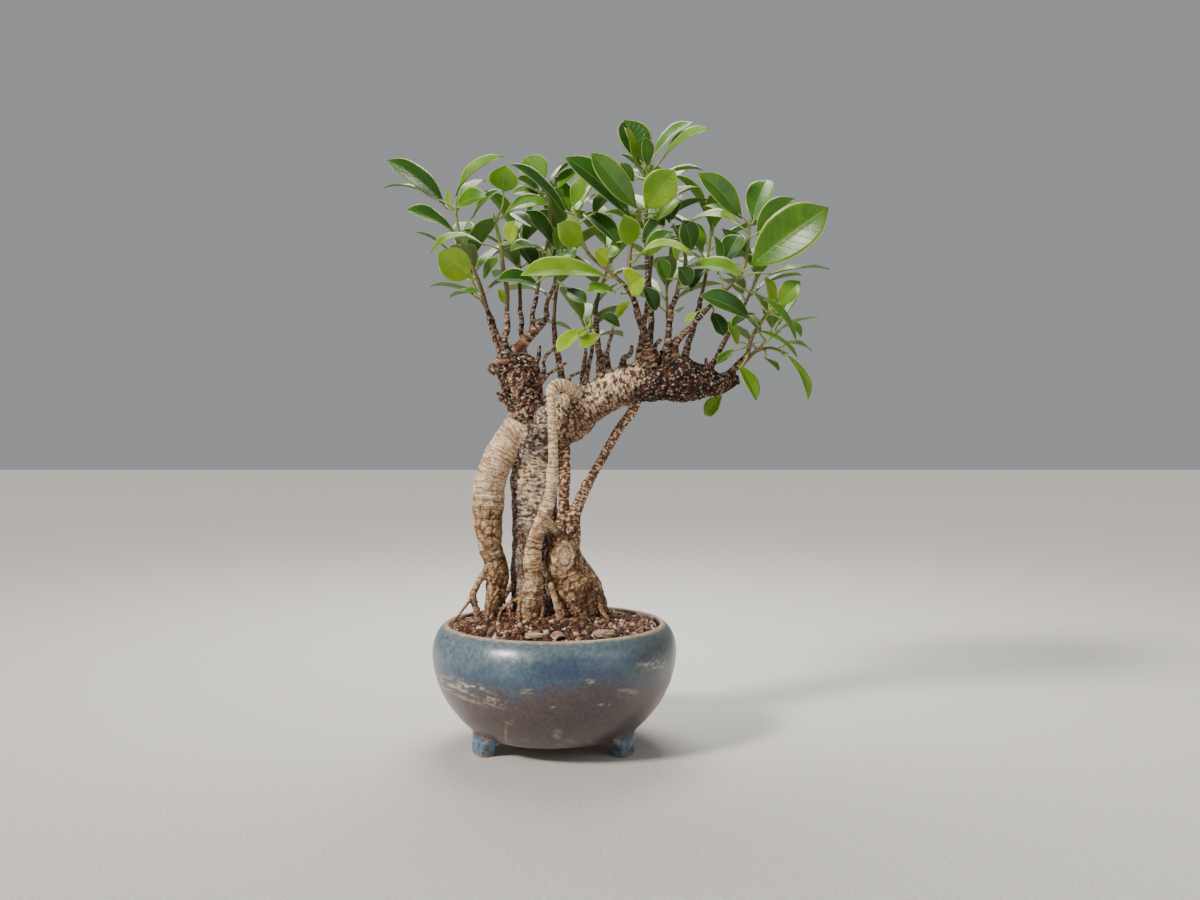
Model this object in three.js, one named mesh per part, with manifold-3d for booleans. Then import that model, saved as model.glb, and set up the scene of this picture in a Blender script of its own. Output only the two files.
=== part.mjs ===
// A small fig bonsai with aerial roots, in a round glazed pot on three feet.
// Millimetres, +Z up. All places below are measured from the point on the floor under the pot's
// centre, with +X to the right of the front and +Y to the back. The finished group is moved once,
// at the end, so that the middle of its footprint comes to the origin.
import * as THREE from "three";
import { mergeVertices } from "three/addons/utils/BufferGeometryUtils.js";
import Module from "manifold-3d";

const wasm = await Module();
wasm.setup();

// ---- driving dimensions ----

const CLEARANCE = 0.3;
const TURN_STEPS = 40;

const RIM_RADIUS = 71.5;
const BELLY_RADIUS = 80.5;
const POT_HEIGHT = 81.2;
const BASE_RADIUS = 48;
const BASE_HEIGHT = 10;
const FLOOR_HEIGHT = 16;
const DRAIN_RADIUS = 7;

const FOOT_RADIUS = 52;
const FOOT_DEPTH = 12;
const FOOT_ANGLES = [-150, -30, 90];

const MESH_SIDE = 26;
const MESH_THICKNESS = 0.8;
const MESH_HOLES = 4;
const MESH_BAR = 1.2;

const LEAF_THICKNESS = 1.0;
const LEAF_FOLD = 0.12;
const PETIOLE_RADIUS = 0.75;
const PETIOLE_BITE = 0.1;
const PETIOLE_LENGTH = 8;
const GOLDEN_ANGLE = 137.5;

// On the far side a shoot bears its leaves from FIRST_NODE of its length upwards. Each rises by its
// rest angle at the lowest leaf, and by its lift more at the highest.
const FIRST_NODE = 0.3;
const STALK_RISE = 35;
const STALK_LIFT = 25;
const BLADE_RISE = 5;
const BLADE_LIFT = 45;
const BLADE_TAPER = 0.25;
const BLADE_BREADTH = 0.46;
const BLADE_ARCH = 0.08;

// ---- materials ----

function finish(color, roughness, metalness = 0) {
  return new THREE.MeshStandardMaterial({ color, roughness, metalness });
}

const GLAZE = finish(0x3f5a6b, 0.35);
const SOIL = finish(0x6b4a38, 0.95);
const NET = finish(0x1c1c1c, 0.6);
const BARK = finish(0x8d7762, 0.85);
const LEAF = finish(0x3f7a2c, 0.4);
const CHIP_TAN = finish(0xc7a784, 0.9);
const CHIP_BROWN = finish(0x6d4a34, 0.9);
const PEBBLE = finish(0xc9b8a8, 0.8);

// ---- helpers ----

function solidOf(geometry) {
  const bare = geometry.clone();
  bare.deleteAttribute("normal");
  bare.deleteAttribute("uv");
  const merged = mergeVertices(bare, 1e-4);
  return new wasm.Manifold(new wasm.Mesh({
    numProp: 3,
    vertProperties: new Float32Array(merged.attributes.position.array),
    triVerts: new Uint32Array(merged.index.array),
  }));
}

function meshOf(name, solid, material) {
  const shape = solid.getMesh();
  const geometry = new THREE.BufferGeometry();
  geometry.setAttribute("position", new THREE.BufferAttribute(shape.vertProperties, 3));
  geometry.setIndex(new THREE.BufferAttribute(shape.triVerts, 1));
  geometry.computeVertexNormals();
  const mesh = new THREE.Mesh(geometry, material);
  mesh.name = name;
  return mesh;
}

function joined(solids) {
  return solids.reduce((whole, next) => whole.add(next));
}

function lathe(profile) {
  const outline = profile.map(([radius, height]) => new THREE.Vector2(radius, height));
  return new THREE.LatheGeometry(outline, TURN_STEPS).rotateX(Math.PI / 2);
}

function pathThrough(stations) {
  const centres = stations.map(([x, y, z]) => new THREE.Vector3(x, y, z));
  return new THREE.CatmullRomCurve3(centres, false, "centripetal");
}

// A closed round tube through stations of [x, y, z, radius], with a ring at each station.
function taperedTube(stations, sides, grow = 0) {
  const path = pathThrough(stations);
  const steps = stations.length - 1;
  const positions = [];
  const index = [];
  let side = new THREE.Vector3(0.31, 0.95, 0.05);
  for (let step = 0; step <= steps; step++) {
    const centre = path.getPoint(step / steps);
    const along = path.getTangent(step / steps);
    side = side.clone().addScaledVector(along, -side.dot(along)).normalize();
    const across = along.clone().cross(side);
    const radius = stations[step][3] + grow;
    for (let corner = 0; corner < sides; corner++) {
      const angle = (2 * Math.PI * corner) / sides;
      const point = centre.clone()
        .addScaledVector(side, radius * Math.cos(angle))
        .addScaledVector(across, radius * Math.sin(angle));
      positions.push(...point);
    }
  }
  for (let step = 0; step < steps; step++) {
    for (let corner = 0; corner < sides; corner++) {
      const a = step * sides + corner;
      const b = step * sides + ((corner + 1) % sides);
      index.push(a, b, b + sides, a, b + sides, a + sides);
    }
  }
  const last = steps * sides;
  for (let corner = 1; corner < sides - 1; corner++) {
    index.push(0, corner + 1, corner);
    index.push(last, last + corner, last + corner + 1);
  }
  const geometry = new THREE.BufferGeometry();
  geometry.setAttribute("position", new THREE.Float32BufferAttribute(positions, 3));
  geometry.setIndex(index);
  return geometry;
}

// ---- the pot ----

function potWall() {
  return solidOf(lathe([
    [DRAIN_RADIUS, BASE_HEIGHT],
    [BASE_RADIUS, BASE_HEIGHT],
    [52, 11],
    [57, 15],
    [64, 22],
    [72, 33],
    [78, 47],
    [BELLY_RADIUS, 60],
    [80, 68],
    [77.5, 75],
    [74, 79.5],
    [RIM_RADIUS, POT_HEIGHT],
    [69.5, 80],
    [70, 76],
    [74, 68],
    [74, 56],
    [69, 40],
    [59, 26],
    [48, FLOOR_HEIGHT],
    [DRAIN_RADIUS, FLOOR_HEIGHT],
    [DRAIN_RADIUS, BASE_HEIGHT],
  ]));
}

// A foot is a bracket: narrow where it stands, spreading in two scoops under the bowl.
function potFoot(angle) {
  const outline = new THREE.Shape();
  outline.moveTo(-8, 0);
  outline.lineTo(8, 0);
  outline.quadraticCurveTo(8, 5, 11, 6.5);
  outline.quadraticCurveTo(12.5, 8, 13, 13);
  outline.lineTo(-13, 13);
  outline.quadraticCurveTo(-12.5, 8, -11, 6.5);
  outline.quadraticCurveTo(-8, 5, -8, 0);
  const options = { depth: FOOT_DEPTH, bevelEnabled: false, curveSegments: 3 };
  const foot = new THREE.ExtrudeGeometry(outline, options);
  foot.rotateX(Math.PI / 2);
  foot.rotateZ(Math.PI / 2);
  foot.translate(FOOT_RADIUS - FOOT_DEPTH / 2, 0, 0);
  foot.rotateZ(THREE.MathUtils.degToRad(angle));
  return solidOf(foot);
}

function pot() {
  return joined([potWall(), ...FOOT_ANGLES.map(potFoot)]);
}

// The plastic net that keeps the soil from falling through the drain hole: thin bars run through
// thick ones.
function drainNet() {
  const pitch = (MESH_SIDE - MESH_BAR) / MESH_HOLES;
  const bars = [];
  for (let row = 0; row <= MESH_HOLES; row++) {
    const offset = (MESH_BAR - MESH_SIDE) / 2 + row * pitch;
    const lengthways = new THREE.BoxGeometry(MESH_SIDE, MESH_BAR, MESH_THICKNESS);
    const crossways = new THREE.BoxGeometry(MESH_BAR, MESH_SIDE + MESH_BAR, MESH_THICKNESS / 2);
    const height = FLOOR_HEIGHT + CLEARANCE + MESH_THICKNESS / 2;
    bars.push(solidOf(lengthways.translate(0, offset, height)));
    bars.push(solidOf(crossways.translate(offset, 0, height)));
  }
  return joined(bars);
}

// ---- the wood: trunk, aerial roots, limbs and twigs, which grew as one piece ----

// Thick members, as stations of [x, y, z, radius] along each centre line.
const MEMBERS = {
  "root_left": [
    [-40, -2, 66, 9.5], [-39, -2, 85, 8], [-39, -2, 100, 6.8], [-38, -2, 110, 8], [-39, -2, 120, 8],
    [-42.5, -2, 130, 8], [-43.5, -2, 140, 9], [-44.5, -2, 150, 10.2], [-44, -2, 160, 11],
    [-43.5, -2, 170, 10.5], [-41, -1, 180, 10.5], [-37, 0, 190, 10.5], [-31, 2, 200, 10.5],
    [-24, 3, 208, 12], [-14, 4, 214, 12]],
  "trunk_core": [
    [-8, 6, 64, 23], [-9, 6, 80, 21], [-12, 8, 92, 18], [-14, 9, 106, 16], [-14, 9, 130, 15],
    [-14, 9, 160, 15.5], [-13, 9, 185, 16], [-11, 6, 200, 17], [-7, 3, 213, 16]],
  "root_back": [
    [-18, 19, 66, 11], [-20, 19, 84, 10], [-20, 18, 100, 8], [-19, 16, 130, 7.5],
    [-17, 15, 160, 7.5], [-15, 12, 185, 8], [-13, 9, 200, 9]],
  "root_back_right": [
    [8, 17, 66, 13], [7, 16, 84, 12], [4, 15, 104, 9], [-2, 13, 130, 8], [-6, 11, 152, 8]],
  "buttress_right": [
    [2, -10, 140, 7], [6, -13, 131.5, 10], [8, -12, 121, 12.5], [11, -8, 111, 16],
    [15, -5, 100, 18], [16, -3, 90, 19], [17, -2, 66, 19]],
  "knot": [[8, -14, 127, 9], [8, -22.5, 126, 8.6], [8, -25.5, 126, 6]],
  "mid_root": [
    [6, 0, 204, 4.5], [6.5, 2, 190, 4], [6.5, 2, 175, 4], [5, 2, 150, 4], [2, 2, 136, 5]],
  "limb_left": [
    [-14, 3, 205, 11], [-19, 2, 215, 11], [-20.5, 2, 225, 12], [-21.5, 2, 235, 13.5],
    [-24, 1, 245, 14.5], [-26, 0, 252, 13.5], [-27, 0, 256.5, 9]],
  "limb_right": [
    [-10, 4, 209, 15], [4, 3, 214, 16.5], [12, 2, 218, 16], [20, 2, 224.5, 14], [30, 1, 230, 13],
    [40, 0, 235.5, 13], [50, 0, 238.5, 13], [60, 0, 241, 14.5], [70, 0, 242, 15],
    [80, 0, 242, 15.5], [90, 0, 240.5, 14], [100, 0, 240, 11], [110, 0, 239, 7],
    [118, 0, 241, 4], [122, 0, 241.5, 2.5]],
  "root_front": [
    [15, -7, 232, 5], [9, -15, 236, 4.6], [3, -20, 237.5, 4.3], [-1, -22, 234.5, 4],
    [-1.6, -22, 229.5, 3.4], [-1.1, -22, 220, 3], [-1, -22, 210, 3], [-0.4, -22, 200.5, 3.2],
    [-0.2, -22, 191, 3.5], [-0.6, -22, 181, 4], [-1.3, -22, 171, 4.2], [-3.3, -22, 161.5, 4.5],
    [-7, -22, 152, 4.5], [-10.4, -22, 142, 4.8], [-12.8, -22, 132.5, 5.5], [-13.5, -22, 123, 6.2],
    [-13, -21, 113, 5.8], [-13.8, -21, 103, 6.8], [-15.4, -21, 93.5, 7.8], [-16.7, -21, 85, 8.5],
    [-17, -21, 68, 8.5]],
  "root_front_branch": [[-5.4, -19, 150.5, 3], [1, -14, 142.3, 3.5], [6, -11, 136, 3.5]],
  "prop_root": [
    [54, 4, 230, 5], [51.5, 5, 221, 3.6], [43.5, 5, 210, 3.2], [37.5, 5, 200, 3.2],
    [32, 4, 190, 3.2], [26, 3, 180, 3.4], [20.5, 2, 170, 4], [16, 1, 160, 4.2],
    [13.5, 0, 152, 4.2], [13, -1, 145, 4.2], [13, -3, 136, 4.5], [12, -5, 126, 4]],
  "surface_root_left": [
    [-42, -4, 119, 3], [-47, -6, 113, 2.6], [-52, -6, 104, 2.5], [-54, -6, 98, 2.7],
    [-52, -7, 92, 2.6], [-50, -7, 84, 2.7], [-50, -7, 70, 2.6]],
  "surface_root_inner": [
    [-21, -16, 99, 2.2], [-27, -16, 97, 1.7], [-32.5, -15, 93, 1.6], [-35.5, -14, 87, 1.6],
    [-36.5, -14, 74, 1.6]],
  "surface_root_middle": [
    [-2, -19, 109, 2.6], [0, -24, 103, 2.2], [2, -26.5, 97, 2.2], [4, -28, 89.5, 2.4],
    [6, -29, 82, 2.6], [7, -29, 72, 2.6]],
};

// Bare lower twigs and the stubs of old ones, which carry the leafy shoots.
const TWIGS = {
  "ridge": [
    [-42, -6, 247, 3.4], [-38, -8, 251, 3.8], [-30, -9, 257, 4], [-20, -8, 266, 3.4],
    [-14, -7, 272.5, 3], [-10, -6, 276.5, 2.5], [-5, -5, 282.5, 1.9]],
  "ridge_fork": [[-14.5, -6, 273, 2.4], [-14.5, -5, 280, 1.8], [-13.5, -3, 290, 1.5], [-12, -2, 297, 1.4]],
  "ridge_end": [[-5, -5, 282.5, 1.9], [-5.5, -5, 290, 1.5], [-2, -5, 299, 1.4], [0, -5, 304, 1.3]],
  "left_low": [
    [-34, -5, 253, 2.8], [-36, -6, 260, 1.9], [-39, -6, 268, 1.6], [-42, -5, 278, 1.6],
    [-44.5, -5, 288, 1.5]],
  "left_high": [
    [-31, -10, 252, 4], [-32, -12, 259, 3.2], [-32.5, -12, 267, 2.4], [-31, -11, 275, 2],
    [-31, -10, 285, 1.7]],
  "stub_a": [[-14, -4, 250, 3], [-11, -6, 256.5, 1.6], [-9.5, -7, 264, 1]],
  "stub_b": [
    [-14, -4, 240, 3], [-7, -6, 246, 1.6], [-7, -7, 255, 1.2], [0, -7, 262.5, 1], [1.5, -7, 265.5, 0.8]],
  "stub_c": [[-12, -2, 238, 3], [-5, -5, 244, 1.4], [2, -6, 249, 1.1], [8, -6, 252.7, 0.9]],
  "stub_d": [[12, -4, 228, 3], [10, -8, 242, 1.2], [17, -9, 246.6, 0.9]],
  "stub_e": [[20, -2, 234, 2.6], [22, -4, 250, 1.6], [25, -6, 262, 1.2], [24.5, -6, 272, 1]],
  "stub_f": [[30, -4, 240, 2.6], [31, -6, 252, 1.8], [32, -7, 260, 1.1]],
  "stub_g": [[36, -4, 244, 2.6], [35, -5, 262, 1.2], [38, -6, 272, 1.1]],
  "stub_h": [[45, -4, 248, 3], [46, -6, 256, 2], [50, -7, 258, 1.6], [51, -7, 264, 1]],
  "stub_i": [[58, -6, 252, 2.6], [59, -7, 262, 1.6], [57, -8, 271, 1.2]],
  "stub_j": [[68, -6, 254, 2.6], [66, -9, 262, 1.5], [70, -10, 268, 1.2]],
  "centre": [
    [64, -10, 250, 4], [62, -13, 260, 3], [60, -15, 268, 2.6], [56, -17, 279, 2.3],
    [53, -18, 289, 2], [50.5, -19, 297, 1.8]],
  "centre_left": [[50.5, -19, 296, 1.7], [46, -21, 302, 1.5]],
  "centre_right": [[50.5, -19, 296, 1.7], [49.7, -19, 303.5, 1.5]],
  "apex": [
    [60, 6, 250, 3.5], [63, 4, 262, 2.4], [64, 1, 285, 2], [62, -1, 305, 1.8], [61, -2, 320, 1.6]],
  "inner_right": [
    [73, -8, 252, 3.4], [74, -11, 262, 2.6], [75, -12, 277, 2], [77, -12, 289, 1.8], [80, -12, 296, 1.7]],
  "right": [
    [78, -6, 254, 4], [80, -9, 266, 2.6], [86, -10, 272.5, 2], [92, -11, 278.5, 1.8],
    [96.5, -12, 283.3, 1.6]],
  "right_low": [[112, -1, 240, 4], [116, -2, 246, 2.4], [121, -4, 252, 1.9], [127, -6, 258, 1.6]],
  "right_hanging": [[106, 2, 240, 4], [115, 5, 243, 2], [121, 8, 249, 1.7], [126, 9, 254, 1.5]],
  "back_left_low": [[-28, 8, 246, 4], [-34, 14, 258, 2], [-40, 22, 272, 1.6], [-44, 28, 284, 1.5]],
  "back_left": [[-20, 8, 244, 4], [-22, 18, 262, 2], [-24, 26, 280, 1.7], [-25, 32, 294, 1.5]],
  "back_mid_left": [[8, 8, 222, 4], [4, 20, 244, 2.4], [0, 28, 264, 2], [-2, 34, 282, 1.6]],
  "back_mid": [[30, 8, 236, 4], [30, 20, 254, 2.4], [28, 30, 272, 2], [27, 36, 290, 1.6]],
  "back_mid_low": [[20, 8, 228, 4], [18, 20, 240, 2], [19, 30, 252, 1.6], [20, 35, 260, 1.4]],
  "back_crown": [[56, 8, 248, 4], [58, 20, 268, 2.2], [62, 28, 290, 1.8], [64, 32, 310, 1.6]],
  "back_low": [[66, 10, 242, 4], [72, 26, 254, 2.2], [76, 38, 264, 1.8], [78, 48, 276, 1.6]],
  "back_right": [[84, 8, 246, 4], [90, 18, 266, 2.2], [96, 26, 284, 1.8], [100, 32, 300, 1.6]],
  "back_right_low": [[98, 6, 242, 4], [108, 16, 256, 2], [116, 24, 270, 1.7], [122, 30, 282, 1.5]],
  "back_far_right": [[104, 4, 240, 4], [116, 14, 246, 1.8], [127, 22, 252, 1.5]],
};

const SIDES_OF_MEMBERS = 9;
const SIDES_OF_TWIGS = 5;
const BURIED_BELOW = 87;

function wood() {
  const thick = Object.values(MEMBERS).map((row) => solidOf(taperedTube(row, SIDES_OF_MEMBERS)));
  const thin = Object.values(TWIGS).map((row) => solidOf(taperedTube(row, SIDES_OF_TWIGS)));
  return joined([...thick, ...thin]);
}

// ---- the soil, with the hollows that the roots and the net fill ----

function soil() {
  const mound = solidOf(lathe([
    [0, FLOOR_HEIGHT + CLEARANCE],
    [47.7, FLOOR_HEIGHT + CLEARANCE],
    [58.7, 26.3],
    [68.6, 40.2],
    [73.6, 56],
    [73.6, 67.8],
    [69.6, 75.9],
    [58, 79.5],
    [34, 85.4],
    [0, 90],
  ]));
  const roots = Object.values(MEMBERS)
    .filter((row) => Math.min(...row.map((station) => station[2])) < BURIED_BELOW)
    .map((row) => solidOf(taperedTube(row, SIDES_OF_MEMBERS, CLEARANCE * 1.3)));
  const pocket = new THREE.BoxGeometry(
    MESH_SIDE + 2 * MESH_BAR, MESH_SIDE + 2 * MESH_BAR, 2 * (MESH_THICKNESS + 2 * CLEARANCE));
  pocket.translate(0, 0, FLOOR_HEIGHT);
  return mound.subtract(joined(roots)).subtract(solidOf(pocket));
}

// ---- loose chips lying on the soil by the front rim ----

function slab(points, depth, turn, place) {
  const outline = new THREE.Shape(points.map(([x, y]) => new THREE.Vector2(x, y)));
  const geometry = new THREE.ExtrudeGeometry(outline, { depth, bevelEnabled: false });
  geometry.rotateX(turn[0]).rotateY(turn[1]).rotateZ(turn[2]);
  return solidOf(geometry.translate(...place));
}

function barkChip() {
  const outline = [
    [-5.5, -1.5], [-3, -2.6], [2, -2.2], [5.6, -1.2], [6, 0.8], [2.5, 2.2], [-2, 2.6], [-5, 1.4]];
  return slab(outline, 1.6, [0.24, 0, 0.12], [-11, -55.5, 81.2]);
}

// A curl of bark: half a ring, seen from its open end.
function barkCurl() {
  const outline = [];
  for (let step = 0; step <= 6; step++) {
    const angle = (Math.PI * step) / 6;
    outline.push([4.4 * Math.cos(angle), 2.9 * Math.sin(angle)]);
  }
  for (let step = 6; step >= 0; step--) {
    const angle = (Math.PI * step) / 6;
    outline.push([3.4 * Math.cos(angle), 2 * Math.sin(angle)]);
  }
  return slab(outline, 7, [Math.PI / 2 + 0.24, 0, 0.5], [3, -53, 81.6]);
}

function pebble() {
  const stone = new THREE.IcosahedronGeometry(1, 1);
  stone.scale(6.4, 4.4, 2.7).rotateY(-0.12).rotateZ(0.2);
  return solidOf(stone.translate(33, -52, 82));
}

// ---- the leafy shoots ----

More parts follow.
